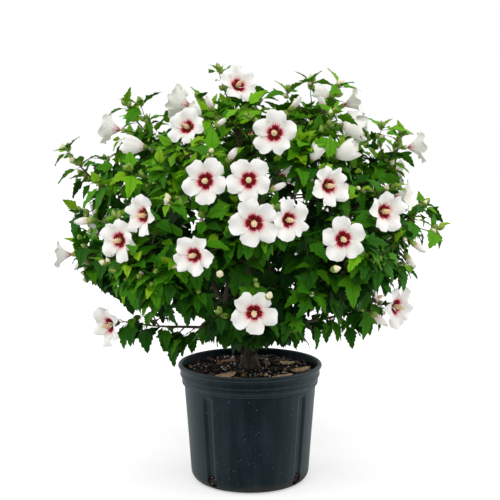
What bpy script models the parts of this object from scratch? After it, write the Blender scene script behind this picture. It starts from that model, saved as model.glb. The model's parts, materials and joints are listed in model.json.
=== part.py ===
"""A hibiscus shrub in a nursery pot: pot, soil, trunk, stems, boughs and masses of foliage.

The shrub is a multi-stemmed vase of branches. A short trunk stands on the soil, stems leave it,
boughs leave the stems, and each stem or bough ends where it enters a mass of foliage. A mass is
one body: a leader that carries on from its bough, shoots that leave the leader, leaves and blooms.

Units: sizes below are millimetres, meshes are metres. +Z is up, the front faces -Y, and the
origin is the middle of the pot's flat underside.
"""

import math
import random

import bmesh
import bpy
from mathutils import Matrix, Vector
from mathutils.bvhtree import BVHTree

MM = 0.001
GOLDEN_TURN = math.radians(137.508)
GOLDEN_SHARE = 0.618034
UP = Vector((0, 0, 1))
SEAT = 0.3  # the gap that touching pieces keep
BEND_REACH = 0.38  # how far a bend's guide points stand off its ends, as a share of the gap

# Pot: a blow-moulded nursery pot, 280 mm across its lip.
POT_HEIGHT = 231.0
LIP_RADIUS = 140.0
LIP_HEIGHT = 8.0
BAND_RADIUS = 135.5
BAND_FOOT = 207.0
BEAD_RADIUS = 133.0
BEAD_FOOT = 196.0
WALL_TOP_RADIUS = 127.5
WALL_TOP = 190.0
WALL_FOOT_RADIUS = 115.0
CORNER = 22.0  # radius of the round between wall and underside
CORNER_STEPS = 3
WALL = 2.6
EDGE = 2.0  # how far the edges of the lip, the band and the bead are eased
FLUTE_TURNS = [math.radians(a) for a in (-39, 51, 141, 231)]  # from the front, towards +X
FLUTE_FOOT = 30.0
FLUTE_HEAD = 180.0
FLUTE_DEPTH = 3.0
FLUTE_HALF_WIDTH = math.radians(3.4)
FLUTE_SLOPE = math.radians(1.2)
PLAIN_STEPS = 6  # facets between two flutes
DRAIN_RADIUS = 12.0
DRAIN_TILT = math.radians(15)  # below the horizontal
DRAIN_HEIGHT = 19.0
DRAIN_INWARDS, DRAIN_OUTWARDS = 14.0, 22.0  # how far its cutter reaches from the wall's foot
DRAIN_SIDES = 10

# Soil: it fills the pot to 15 mm below the lip and rises a little to the trunk.
SOIL_EDGE = 216.0
SOIL_TOP = 221.5
SOIL_SLOPE_RADIUS = 70.0
SOIL_FLAT_RADIUS = 32.0

# Trunk
TRUNK_FOOT = SOIL_TOP + SEAT
TRUNK_LEAN = Vector((-3.0, 3.0, 0))  # how far the top stands from above the foot
TRUNK_HEIGHTS = (0, 9, 24, 45, 68)
TRUNK_RADII = (21.0, 17.0, 14.5, 13.0, 11.5)
TRUNK_SIDES = 10

# Stems and boughs
STEM_SIDES = 5
STEM_STEPS = 7
STEM_START_OUT, STEM_START_UP = 0.72, 0.70  # the way a stem leaves the trunk
BOUGH_STEPS = 4
BOUGH_START = 0.6  # how much of its stem's way a bough keeps where it leaves
LIMB_MARGIN = 1.0  # leaves keep this clear of every limb

# Crown: a rounded box, between an ellipsoid and a cuboid, that the shoots fill.
CROWN_MIDDLE = Vector((0, 0, 500))
CROWN_ACROSS = 340.0
CROWN_DEEP = 310.0
CROWN_UP = 268.0
CROWN_DOWN = 250.0
CROWN_POWER = 2.6  # 2 is an ellipsoid

# Stems leave the trunk: at what height above the soil, foot and tip radius, tip, and where the
# leader of the mass on it ends.
STEMS = {
    "centre": (None, 9.5, 4.2, (-14, 6, 590), (-36, 0, 754)),
    "left": (18, 7.5, 4.0, (-200, -12, 400), (-325, -6, 448)),
    "right": (34, 7.5, 4.0, (208, -8, 430), (326, -12, 535)),
    "front_left": (40, 7.0, 3.8, (-112, -145, 405), (-200, -228, 478)),
    "front_right": (20, 7.0, 3.8, (105, -150, 400), (195, -232, 480)),
    "back_left": (32, 7.0, 3.8, (-115, 145, 410), (-200, 228, 490)),
    "back_right": (50, 7.0, 3.8, (118, 140, 415), (205, 225, 500)),
}

# Boughs leave a stem: which stem, at what share of its length, foot and tip radius, tip, and
# where the leader ends.
BOUGHS = {
    "low_left": ("left", 0.30, 4.6, 3.2, (-84, -38, 306), (-236, -32, 316)),
    "high_left": ("left", 0.60, 4.8, 3.2, (-215, 20, 510), (-325, 8, 610)),
    "upper_left": ("centre", 0.20, 5.0, 3.4, (-108, 35, 582), (-222, 14, 702)),
    "upper_right": ("centre", 0.52, 4.8, 3.2, (68, 38, 622), (138, 22, 734)),
    "high_right": ("right", 0.55, 4.8, 3.2, (200, 32, 520), (278, 10, 642)),
    "low_right": ("right", 0.32, 4.6, 3.2, (98, -42, 316), (240, -38, 350)),
    "low_front": ("front_right", 0.30, 4.4, 3.0, (16, -98, 345), (4, -236, 384)),
    "middle_front": ("front_left", 0.42, 4.6, 3.2, (-32, -160, 440), (-6, -262, 535)),
    "high_front_left": ("centre", 0.36, 4.8, 3.2, (-80, -96, 530), (-112, -188, 640)),
    "high_front_right": ("centre", 0.44, 4.8, 3.2, (74, -90, 550), (102, -182, 655)),
    "low_back": ("back_left", 0.30, 4.4, 3.0, (-18, 98, 345), (-10, 234, 384)),
    "middle_back": ("back_right", 0.42, 4.6, 3.2, (30, 160, 440), (8, 262, 540)),
    "high_back": ("centre", 0.42, 4.8, 3.2, (4, 98, 565), (18, 184, 665)),
}

# Open blooms of the front: middle of the throat, width, and where the bloom faces, as turn to
# the right of the front and tilt up.
FRONT_BLOOMS = {
    "crown_tip": ((-18, -28, 768), 72, 22, 28),
    "upper_middle": ((42, -212, 682), 80, -8, 10),
    "upper_left": ((-116, -150, 698), 68, -24, 20),
    "upper_left_rear": ((-138, 22, 726), 66, -128, 18),
    "left_shoulder": ((-238, -6, 684), 62, -88, 6),
    "left_of_middle": ((-76, -274, 604), 80, -8, 5),
    "middle": ((-2, -282, 606), 78, -2, 9),
    "right_of_middle": ((138, -256, 594), 76, 30, 4),
    "heart": ((7, -308, 536), 84, 0, -4),
    "heart_right": ((68, -298, 540), 74, 26, 2),
    "right": ((158, -275, 505), 78, 6, 0),
    "far_right": ((240, -205, 550), 78, 36, 4),
    "far_right_rear": ((286, -118, 566), 62, 82, 8),
    "left": ((-188, -250, 543), 74, -42, 2),
    "far_left": ((-228, -226, 497), 76, -32, -2),
    "low_left_of_middle": ((-96, -296, 480), 74, -26, 0),
    "low_middle": ((7, -276, 378), 80, 0, -5),
    "left_skirt": ((-270, -34, 306), 70, -62, -6),
    "right_skirt": ((272, -42, 344), 70, 60, -2),
    "left_tip": ((-362, -8, 446), 56, -98, 2),
    "right_shoulder": ((312, 12, 652), 56, 94, 4),
    "top_right_side": ((192, 10, 738), 58, 108, 24),
}

# Half-open and furled blooms of the front: the calyx, the way they point, and their length.
FRONT_FURLED = {
    "left_goblet": ((-196, -142, 656), -100, 10, 42),
    "left_hanging": ((-318, -10, 436), -92, -18, 28),
    "right_goblet": ((160, -180, 640), 72, 24, 44),
    "upper_right_goblet": ((172, -110, 690), 88, -8, 40),
    "top_right_spire": ((140, -36, 716), -48, 62, 34),
    "top_spire": ((-40, -240, 632), 42, 46, 34),
    "middle_spire": ((32, -272, 586), 70, 26, 30),
    "left_spire": ((-276, -148, 524), -98, -6, 38),
    "right_skirt_spire": ((218, -138, 356), 72, -38, 38),
    "right_lower_spire": ((288, -140, 486), 78, -36, 30),
    "crown_left_spire": ((-66, -92, 716), -36, 52, 34),
}

# Spires are the shoots of the outline that stand clear of the crown, by the middles of the stars
# of leaves that end them.
SPIRES = [
    (-346, -10, 640), (-278, 40, 618), (-236, 44, 722), (-202, -50, 726), (-94, -26, 736),
    (-50, 10, 786), (20, 40, 738), (70, -20, 750), (116, 20, 768), (168, -30, 760),
    (226, 40, 660), (286, -20, 668), (334, 20, 534), (350, -40, 494), (-330, 30, 520),
    (-300, -60, 400), (290, -70, 424),
]
FAR_SPIRES = 6
FAR_SPIRE_SPREAD = math.radians(84)
FAR_SPIRE_LOW, FAR_SPIRE_HIGH = 380.0, 730.0
SPIRE_RISE = 0.8
SPIRE_LEAF = 0.60  # size of its last leaf
SPIRE_BACK = 22.0  # the last leaf starts this far before the star's middle

# Blooms of the far side follow a rule: golden turns up the back of the crown.
FAR_BLOOMS = 20
FAR_LOW, FAR_HIGH = 335.0, 705.0
FAR_MIDDLE, FAR_SPREAD = math.radians(180), math.radians(72)
FAR_WIDTHS = (68.0, 80.0)
FAR_LENGTHS = (30.0, 42.0)  # of the furled ones
FAR_FURLED_EVERY = 4

# Shapes of blooms, as shares of an open one's radius or of a furled one's length.
BLOOM_RIM_HEIGHT = 0.16
BLOOM_NOTCH = 0.88
BLOOM_COLUMN = 0.52
BLOOM_CALYX = 0.40
FURLED_CALYX = 0.22
FURLED_ROLL = 0.24
COLUMN_RADIUS = 3.4

# Leaves of the solid: larger than life, because each stands for a few.
LEAF_LENGTH = 84.0
LEAF_WIDTH = 66.0
LEAF_THICKNESS = 2.4
LEAF_WIDEST = 0.42  # where along it, as a share of its length
LEAF_FOLD = 0.06  # its sides stand up by this share of its width
LEAF_CURL = 0.08  # its tip hangs by this share of its length
LEAF_ROLL = math.radians(50)
LEAF_SPACING = 43.0
LOW_LEAF_SPACING = 26.0  # on the low boughs
LEAF_SPREAD = math.radians(56)
DROOP_LOW, DROOP_HIGH = 0.70, 0.28  # how much leaves hang at the two heights below
DROOP_HEIGHTS = (300.0, 700.0)
LEAF_SUNK = 0.8
LEAF_LIMIT = 1.12  # how far out of the crown a leaf may pass
LEAF_FLOOR = 252.0  # no leaf hangs lower
LEAF_FLOOR_RISE = 0.12  # towards the front and the back
SPARSE_FLOOR = 258.0  # but on the low boughs, leaves end higher, and higher still far out
SPARSE_RISE = 0.75
SPARSE_FROM = 190.0
LEAF_TRIES = 7
LEAF_SHRINK = 0.06  # at each further try
LEADER_LEAF = 0.7  # size of the leaf that ends a leader

# Leaders and shoots: a leader carries on from its bough, shoots leave the leader.
LEADER_STEPS = 3
LEADER_RISE = 0.15
SHOOTS_PER_MASS = 12
SHOOT_FIRST, SHOOT_SPAN = 0.08, 0.90  # the stretch of the leader that bears shoots
SHOOT_RADIUS = 2.4
SHOOT_TIP_RADIUS = 2.2
SHOOT_LONGEST = 150.0
SHOOT_SHORTEST = 12.0
SHOOT_STEP = 6.0
SHOOT_SPREAD = math.radians(58)
SHOOT_RISE = 0.20
SHOOT_LIMIT = 1.11
SHOOT_MARGIN = 8.0  # from its end to the flat sides of its mass's space
TIP_MARGIN = 2.0  # from the tip of its last leaf
CELL_MARGIN = 0.6  # from every other leaf
STALK_STEPS = 2


# ---------------------------------------------------------------- materials


def material(name, colour, roughness, metallic=0.0):
    made = bpy.data.materials.new(name)
    made.use_nodes = True
    surface = made.node_tree.nodes["Principled BSDF"]
    surface.inputs["Base Color"].default_value = (*colour, 1.0)
    surface.inputs["Roughness"].default_value = roughness
    surface.inputs["Metallic"].default_value = metallic
    made.diffuse_color = (*colour, 1.0)
    return made


def make_materials():
    return {
        "pot": material("pot_plastic", (0.025, 0.038, 0.048), 0.45),
        "soil": material("potting_soil", (0.035, 0.022, 0.015), 0.95),
        "bark": material("bark", (0.16, 0.10, 0.06), 0.85),
        "leaf": material("leaf", (0.07, 0.20, 0.02), 0.5),
    }


# ---------------------------------------------------------------- meshes


def add_object(name, points, faces, surface, smooth=False):
    """A mesh object of these points, in millimetres, and faces, with its normals facing out."""
    mesh = bpy.data.meshes.new(name)
    mesh.from_pydata([tuple(p * MM) for p in points], [], faces)
    shell = bmesh.new()
    shell.from_mesh(mesh)
    bmesh.ops.recalc_face_normals(shell, faces=shell.faces)
    bmesh.ops.triangulate(shell, faces=[f for f in shell.faces if len(f.verts) > 4])
    shell.to_mesh(mesh)
    shell.free()
    mesh.materials.append(surface)
    made = bpy.data.objects.new(name, mesh)
    bpy.context.scene.collection.objects.link(made)
    if smooth:
        mesh.shade_smooth()
        mesh.set_sharp_from_angle(angle=math.radians(35))
    return made


def rings_to_shell(rings, closed_ends=True):
    """Points and faces of a skin over rings that all have the same number of points."""
    sides = len(rings[0])
    points = [p for ring in rings for p in ring]
    faces = []
    for r in range(len(rings) - 1):
        for s in range(sides):
            a, b = r * sides + s, r * sides + (s + 1) % sides
            faces.append((a, b, b + sides, a + sides))
    if closed_ends:
        faces.append(tuple(range(sides))[::-1])
        faces.append(tuple(range((len(rings) - 1) * sides, len(rings) * sides)))
    return points, faces


def tube_shell(points, radii, sides, grow=0.0, start_way=None):
    """A tapering tube round a line. Its first ring may be square to another way."""
    rings = []
    for i, (point, radius) in enumerate(zip(points, radii)):
        tangent, side = frames(points)[i]
        if i == 0 and start_way:
            tangent = start_way.normalized()
            side = square_to(side, tangent)
        other = tangent.cross(side)
        ring = []
        for s in range(sides):
            turn = 2 * math.pi * s / sides
            ring.append(point + (side * math.cos(turn) + other * math.sin(turn)) * (radius + grow))
        rings.append(ring)
    return rings_to_shell(rings)


def tree_of(points, faces):
    return BVHTree.FromPolygons([tuple(p) for p in points], [tuple(f) for f in faces])


def cut(piece, cutter):
    """Cuts the cutter's shape from the piece, applies the cut and removes the cutter."""
    knife = piece.modifiers.new("cut", "BOOLEAN")
    knife.operation = "DIFFERENCE"
    knife.object = cutter
    apply_modifiers(piece)
    bpy.data.objects.remove(cutter)


def apply_modifiers(piece):
    graph = bpy.context.evaluated_depsgraph_get()
    result = bpy.data.meshes.new_from_object(piece.evaluated_get(graph))
    piece.modifiers.clear()
    piece.data = result


# ---------------------------------------------------------------- lines


def perpendicular(direction):
    guide = UP if abs(direction.z) < 0.9 else Vector((1, 0, 0))
    return direction.cross(guide).normalized()


def bend(start, start_way, end, end_way, steps):
    """A smooth line from start to end that leaves and arrives in the given ways."""
    reach = (end - start).length * BEND_REACH
    a, b = start + start_way.normalized() * reach, end - end_way.normalized() * reach
    line = []
    for i in range(steps + 1):
        t = i / steps
        line.append(
            start * (1 - t) ** 3 + a * 3 * t * (1 - t) ** 2 + b * 3 * t * t * (1 - t) + end * t**3
        )
    return line


def square_to(side, way):
    return (side - way * side.dot(way)).normalized()


def frames(points):
    """At each point of a line, its way there and a side that doesn't turn about it."""
    last = len(points) - 1
    found = []
    side = None
    for i in range(last + 1):
        way = (points[min(i + 1, last)] - points[max(i - 1, 0)]).normalized()
        side = square_to(side, way) if side else perpendicular(way)
        found.append((way, side))
    return found


def line_length(points):
    return sum((b - a).length for a, b in zip(points, points[1:]))


def along(points, share):
    """The place at a share of the line's length, with the way and the side of the line there."""
    left = line_length(points) * share
    sides = [side for _, side in frames(points)]
    for a, b, side in zip(points, points[1:], sides):
        step = (b - a).length
        if left <= step or b is points[-1]:
            way = (b - a).normalized()
            return a.lerp(b, min(left / step, 1.0)), way, square_to(side, way)
        left -= step


def taper(first, last, count):
    return [first + (last - first) * i / (count - 1) for i in range(count)]


def facing(turn, tilt):
    """A direction: turn is in degrees to the right of the front (-Y), tilt in degrees up."""
    a, e = math.radians(turn), math.radians(tilt)
    return Vector((math.sin(a) * math.cos(e), -math.cos(a) * math.cos(e), math.sin(e)))


def crown_share(place):
    """Below 1 inside the crown's rounded box, 1 on it."""
    off = place - CROWN_MIDDLE
    halves = (CROWN_ACROSS, CROWN_DEEP, CROWN_UP if off.z > 0 else CROWN_DOWN)
    return sum(abs(o / h) ** CROWN_POWER for o, h in zip(off, halves)) ** (1 / CROWN_POWER)


def on_crown(turn, height):
    """The place on the round of the crown at a turn from the front and a height."""
    rise = height - CROWN_MIDDLE.z
    ring = math.sqrt(1 - (rise / (CROWN_UP if rise > 0 else CROWN_DOWN)) ** 2)
    place = Vector((math.sin(turn) * CROWN_ACROSS, -math.cos(turn) * CROWN_DEEP, 0)) * ring
    return place + UP * height


# ---------------------------------------------------------------- pot and soil


def turns_round():
    """The angles of a ring's points: close together at each flute, even between flutes."""
    turns = []
    edge = FLUTE_HALF_WIDTH + FLUTE_SLOPE
    for middle in FLUTE_TURNS:
        turns += [middle - edge, middle - FLUTE_HALF_WIDTH, middle + FLUTE_HALF_WIDTH]
        gap = math.radians(90) - 2 * edge
        turns += [middle + edge + gap * i / PLAIN_STEPS for i in range(PLAIN_STEPS)]
    return turns


def in_flute(turn):
    quarter = math.radians(90)
    off = (turn - FLUTE_TURNS[0] + quarter / 2) % quarter - quarter / 2
    return abs(off) < FLUTE_HALF_WIDTH + FLUTE_SLOPE / 2


def pot_ring(radius, height, fluted=False):
    ring = []
    for turn in turns_round():
        r = radius - (FLUTE_DEPTH if fluted and in_flute(turn) else 0.0)
        ring.append(Vector((r * math.sin(turn), -r * math.cos(turn), height)))
    return ring


def corner_arc(inset):
    """The round between underside and wall, as (radius, height), moved in by inset."""
    middle = WALL_FOOT_RADIUS - CORNER
    arc = []
    for i in range(CORNER_STEPS + 1):
        a = math.radians(90) * i / CORNER_STEPS
        arc.append(
            (middle + (CORNER - inset) * math.sin(a), CORNER - (CORNER - inset) * math.cos(a))
        )
    return arc


def wall_radius(height):
    """The pot's outer radius between its corner and the top of its plain wall."""
    share = (height - CORNER) / (WALL_TOP - CORNER)
    return WALL_FOOT_RADIUS + (WALL_TOP_RADIUS - WALL_FOOT_RADIUS) * share


def make_pot(materials):
    lip_foot = POT_HEIGHT - LIP_HEIGHT
    outside = [pot_ring(r, h) for r, h in corner_arc(0.0)]
    outside += [
        pot_ring(wall_radius(FLUTE_FOOT), FLUTE_FOOT, fluted=True),
        pot_ring(wall_radius(FLUTE_HEAD), FLUTE_HEAD, fluted=True),
        pot_ring(WALL_TOP_RADIUS, WALL_TOP),
        pot_ring(BEAD_RADIUS - EDGE, WALL_TOP + EDGE),
        pot_ring(BEAD_RADIUS, BEAD_FOOT),
        pot_ring(BEAD_RADIUS, BAND_FOOT - EDGE),
        pot_ring(BAND_RADIUS, BAND_FOOT),
        pot_ring(BAND_RADIUS, lip_foot - EDGE),
        pot_ring(LIP_RADIUS, lip_foot + EDGE),
        pot_ring(LIP_RADIUS, POT_HEIGHT - EDGE),
        pot_ring(LIP_RADIUS - EDGE, POT_HEIGHT),
    ]
    inside = [
        pot_ring(BAND_RADIUS - EDGE / 2, POT_HEIGHT),
        pot_ring(BAND_RADIUS - WALL, lip_foot),
        pot_ring(BEAD_RADIUS - EDGE / 2 - WALL, WALL_TOP + 2 * EDGE),
        pot_ring(WALL_TOP_RADIUS - WALL, WALL_TOP - 2 * EDGE),
        pot_ring(wall_radius(FLUTE_HEAD) - WALL, FLUTE_HEAD, fluted=True),
        pot_ring(wall_radius(FLUTE_FOOT) - WALL, FLUTE_FOOT, fluted=True),
    ]
    inside += [pot_ring(r, h) for r, h in reversed(corner_arc(WALL))]
    points, faces = rings_to_shell(outside + inside)
    pot = add_object("pot", points, faces, materials["pot"])
    for turn in FLUTE_TURNS:
        cut(pot, drain_cutter(turn, materials))
    pot.data.shade_smooth()
    pot.data.set_sharp_from_angle(angle=math.radians(35))


def drain_cutter(turn, materials):
    """A short rod through the pot's corner, pointing out and down at one flute."""
    out = Vector((math.sin(turn), -math.cos(turn), 0))
    way = out * math.cos(DRAIN_TILT) - UP * math.sin(DRAIN_TILT)
    middle = out * (WALL_FOOT_RADIUS - 2 * WALL) + UP * DRAIN_HEIGHT
    line = [middle - way * DRAIN_INWARDS, middle + way * DRAIN_OUTWARDS]
    points, faces = tube_shell(line, [DRAIN_RADIUS] * 2, DRAIN_SIDES)
    return add_object("drain_cutter", points, faces, materials["pot"])


def make_soil(materials):
    inset = WALL + SEAT
    floor, *_, wall_foot = corner_arc(inset)
    rings = [
        pot_ring(*floor),
        pot_ring(*wall_foot, fluted=True),
        pot_ring(wall_radius(FLUTE_HEAD) - inset, FLUTE_HEAD, fluted=True),
        pot_ring(BEAD_RADIUS - EDGE - WALL, SOIL_EDGE, fluted=True),
        pot_ring(SOIL_SLOPE_RADIUS, SOIL_TOP - EDGE),
        pot_ring(SOIL_FLAT_RADIUS, SOIL_TOP),
    ]
    points, faces = rings_to_shell(rings)
    add_object("soil", points, faces, materials["soil"], smooth=True)


# ---------------------------------------------------------------- trunk, stems and boughs


class Limb:
    """A tapering limb: its line, its radii and the number of its sides."""

    def __init__(self, line, radii, sides, start_way=None):
        self.line, self.radii, self.sides, self.start_way = line, radii, sides, start_way

    def shell(self, grow=0.0):
        return tube_shell(self.line, self.radii, self.sides, grow, self.start_way)

    def end_way(self):
        return (self.line[-1] - self.line[-2]).normalized()

    def longer_shell(self, grow):
        """The shell grown, and run on at both ends, as a cutter for what is seated on it."""
        first, last = self.line[0], self.line[-1]
        start = first - (self.line[1] - first).normalized() * grow
        end = last + (last - self.line[-2]).normalized() * grow
        return tube_shell([start, *self.line[1:-1], end], self.radii, self.sides, grow)


def plan_trunk():
    upright, top = TRUNK_HEIGHTS[1], TRUNK_HEIGHTS[-1]
    line = []
    for height in TRUNK_HEIGHTS:
        lean = TRUNK_LEAN * (max(0.0, height - upright) / (top - upright))
        line.append(Vector((0, 0, TRUNK_FOOT + height)) + lean)
    return Limb(line, list(TRUNK_RADII), TRUNK_SIDES)


def plan_limbs(trunk):
    """Every stem and bough as a Limb, with the limb that each one is seated on."""
    limbs, seats, leaders = {}, {}, {}
    for name, (height, foot_radius, tip_radius, tip, leader_tip) in STEMS.items():
        tip, leader_tip = Vector(tip), Vector(leader_tip)
        end_way = (leader_tip - tip).normalized()
        if height is None:
            start_way = trunk.end_way()
            start = trunk.line[-1] + start_way * SEAT
        else:
            start, *_ = along(trunk.line, height / TRUNK_HEIGHTS[-1])
            flat = Vector((tip.x, tip.y, 0)).normalized()
            start_way = flat * STEM_START_OUT + UP * STEM_START_UP
        line = bend(start, start_way, tip, end_way, STEM_STEPS)
        radii = taper(foot_radius, tip_radius, len(line))
        limbs[name] = Limb(line, radii, STEM_SIDES, start_way if height is None else None)
        seats[name] = None if height is None else "trunk"
        leaders[name] = leader_tip
    for name, (stem, share, foot_radius, tip_radius, tip, leader_tip) in BOUGHS.items():
        tip, leader_tip = Vector(tip), Vector(leader_tip)
        start, way, _ = along(limbs[stem].line, share)
        start_way = way * BOUGH_START + (tip - start).normalized()
        line = bend(start, start_way, tip, leader_tip - tip, BOUGH_STEPS)
        limbs[name] = Limb(line, taper(foot_radius, tip_radius, len(line)), STEM_SIDES)
        seats[name] = stem
        leaders[name] = leader_tip
    return limbs, seats, leaders


def make_limbs(trunk, limbs, seats, materials):
    """The trunk, stems and boughs. A limb is cut clear of the one that it is seated on."""
    add_object("trunk", *trunk.shell(), materials["bark"], smooth=True)
    for name, limb in limbs.items():
        kind = "stem" if name in STEMS else "bough"
        made = add_object(f"{kind}_{name}", *limb.shell(), materials["bark"])
        seat = trunk if seats[name] == "trunk" else limbs.get(seats[name])
        if seat:
            cutter = add_object("seat_cutter", *seat.longer_shell(SEAT), materials["bark"])
            cut(made, cutter)
        made.data.shade_smooth()
        made.data.set_sharp_from_angle(angle=math.radians(50))


# ---------------------------------------------------------------- growth of the masses


class Bloom:
    """A bloom: where its throat or calyx is, its width or length, and the way it faces."""

    def __init__(self, name, place, size, way, open_wide):
        self.name, self.place, self.size = name, place, size
        self.way, self.open_wide = way, open_wide

    def stalk_end(self):
        """Where its stalk meets the calyx."""
        return self.place - self.way * (self.size / 2 * BLOOM_CALYX if self.open_wide else 1.0)


def all_blooms():
    blooms = []
    for name, (place, width, turn, tilt) in FRONT_BLOOMS.items():
        blooms.append(Bloom(name, Vector(place), width, facing(turn, tilt), True))
    for name, (place, turn, tilt, length) in FRONT_FURLED.items():
        blooms.append(Bloom(name, Vector(place), length, facing(turn, tilt), False))
    for i in range(FAR_BLOOMS):
        chance = random.Random(f"far bloom {i}")
        height = FAR_LOW + (FAR_HIGH - FAR_LOW) * (i + 0.5) / FAR_BLOOMS
        turn = FAR_MIDDLE + FAR_SPREAD * (2 * ((i * GOLDEN_SHARE) % 1) - 1)
        place = on_crown(turn, height)
        way = facing(math.degrees(turn) + chance.uniform(-24, 24), chance.uniform(-6, 26))
        open_wide = i % FAR_FURLED_EVERY != FAR_FURLED_EVERY - 1
        size = chance.uniform(*FAR_WIDTHS) if open_wide else chance.uniform(*FAR_LENGTHS)
        blooms.append(Bloom(f"far_{i}", place, size, way, open_wide))
    return blooms


class Mass:
    """A mass of foliage: the limb it grows from, its leader and the heart of its space."""

    def __init__(self, name, limb, leader_tip):
        self.name, self.limb = name, limb
        way = limb.end_way()
        foot = limb.line[-1] + way * SEAT
        outwards = (leader_tip - foot).normalized() + UP * LEADER_RISE
        self.leader = bend(foot, way, leader_tip, outwards, LEADER_STEPS)
        self.heart = foot.lerp(leader_tip, 0.5)
        self.low = name.startswith("low")
        self.blooms, self.spires = [], []


def plan_masses(limbs, leaders):
    """The masses, with each bloom and spire given to the mass whose heart is nearest."""
    masses = [Mass(name, limb, leaders[name]) for name, limb in limbs.items()]
    for bloom in all_blooms():
        nearest = min(masses, key=lambda m: (m.heart - bloom.stalk_end()).length)
        nearest.blooms.append(bloom)
    for number, place in all_spires():
        nearest = min(masses, key=lambda m: (m.heart - place).length)
        nearest.spires.append((number, place))
    return masses


def all_spires():
    """The number and the star's middle of each spire."""
    places = [Vector(place) for place in SPIRES]
    for i in range(FAR_SPIRES):
        turn = FAR_MIDDLE + FAR_SPIRE_SPREAD * (2 * ((i * GOLDEN_SHARE + 0.3) % 1) - 1)
        height = FAR_SPIRE_LOW + (FAR_SPIRE_HIGH - FAR_SPIRE_LOW) * (i + 0.5) / FAR_SPIRES
        places.append(on_crown(turn, height))
    return list(enumerate(places))


def room(mass, masses, place):
    """How far the place is inside the mass's own space, a cell with flat sides."""
    least = 1e9
    for other in masses:
        if other is mass:
            continue
        apart = (other.heart - mass.heart).length
        lead = (place - other.heart).length_squared - (place - mass.heart).length_squared
        least = min(least, lead / (2 * apart))
    return least


def shoot_line(mass, masses, number):
    """The line of one seeded shoot, None where it has no room, and the size of its last leaf."""
    chance = random.Random(f"{mass.name} shoot {number}")
    share = SHOOT_FIRST + SHOOT_SPAN * ((number * GOLDEN_SHARE + 0.2) % 1)
    foot, way, side = along(mass.leader, share)
    side = Matrix.Rotation(number * GOLDEN_TURN + len(mass.name), 3, way) @ side
    spread = SHOOT_SPREAD * chance.uniform(0.7, 1.2) * (1.15 - 0.5 * share)
    size = chance.uniform(0.72, 1.0)
    first = way * math.cos(spread) + side * math.sin(spread)
    last = (first + UP * SHOOT_RISE).normalized()
    middle = (first + last).normalized()
    reach = 0.0
    while reach < SHOOT_LONGEST:
        tip = foot + middle * (reach + SHOOT_STEP)
        leaf_tip = tip + last * LEAF_LENGTH * size
        if crown_share(leaf_tip) > SHOOT_LIMIT or room(mass, masses, leaf_tip) < TIP_MARGIN:
            break
        if room(mass, masses, tip) < SHOOT_MARGIN:
            break
        reach += SHOOT_STEP
    if reach < SHOOT_SHORTEST:
        return None, size
    reach *= chance.uniform(0.82, 1.0)
    return [foot, foot + middle * reach], size


def stalk_line(mass, end, end_way):
    """The line of a shoot to a given end: off the leader below it, in the given way at its end."""
    shares = [i / 20 for i in range(2, 19)]
    nearest = min(shares, key=lambda s: (along(mass.leader, s)[0] - end).length)
    foot, way, _ = along(mass.leader, max(0.06, nearest - 0.22))
    gap = (end - foot).normalized()
    return bend(foot, way * 0.7 + gap, end, end_way * 0.7 + gap * 0.5, STALK_STEPS)


def spire_line(mass, place):
    way = ((place - CROWN_MIDDLE).normalized() + UP * SPIRE_RISE).normalized()
    return stalk_line(mass, place - way * SPIRE_BACK, way)


def leaf_places(line, name, spacing):
    """Places for leaves along a shoot: (place, way, size, roll, way of the twig)."""
    chance = random.Random(f"{name} leaves")
    count = max(1, round(line_length(line) / spacing))
    first = chance.randrange(3)
    for i in range(count):
        place, way, side = along(line, 0.12 + 0.72 * (i + 0.5) / count)
        side = Matrix.Rotation(math.radians(60 + 120 * (first + i)), 3, way) @ side
        spread = LEAF_SPREAD * chance.uniform(0.85, 1.15)
        leaf_way = way * math.cos(spread) + side * math.sin(spread)
        yield place, leaf_way, chance.uniform(0.86, 1.08), chance.uniform(-LEAF_ROLL, LEAF_ROLL), way


# ---------------------------------------------------------------- leaf and bloom shapes


def placed(points, place, x_axis, y_axis, z_axis):
    return [place + x_axis * p[0] + y_axis * p[1] + z_axis * p[2] for p in points]


def droop(height):
    """How much leaves hang at a height."""
    low, high = DROOP_HEIGHTS
    share = min(max((height - low) / (high - low), 0.0), 1.0)
    return DROOP_LOW + (DROOP_HIGH - DROOP_LOW) * share


def leaf_frame(place, way, outwards, roll):
    """A leaf's way and the normal of its face, which looks out and up and is rolled a little."""
    way = (way - UP * droop(place.z)).normalized()
    look = outwards * 0.7 + UP * 0.75
    normal = (look - way * look.dot(way)).normalized()
    return way, Matrix.Rotation(roll, 3, way) @ normal


def leaf_outline(size):
    """The four points round a leaf's widest part, and its tip, from its foot along +Y."""
    width, length = LEAF_WIDTH * size, LEAF_LENGTH * size
    widest = length * LEAF_WIDEST
    fold = width * LEAF_FOLD
    sides = [
        (-width / 2, widest, fold),
        (0, widest, LEAF_THICKNESS / 2),
        (width / 2, widest, fold),
        (0, widest, -LEAF_THICKNESS / 2),
    ]
    return sides, (0, length, -length * LEAF_CURL)


def leaf_shell(place, way, size, outwards, roll):
    """A leaf of eight faces whose foot is sunk in the twig."""
    way, normal = leaf_frame(place, way, outwards, roll)
    sides, tip = leaf_outline(size)
    points = placed([(0, -LEAF_SUNK, 0), *sides, tip], place, way.cross(normal), way, normal)
    faces = [(0, 1 + i, 1 + (i + 1) % 4) for i in range(4)]
    faces += [(1 + (i + 1) % 4, 1 + i, 5) for i in range(4)]
    return points, faces


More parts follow.
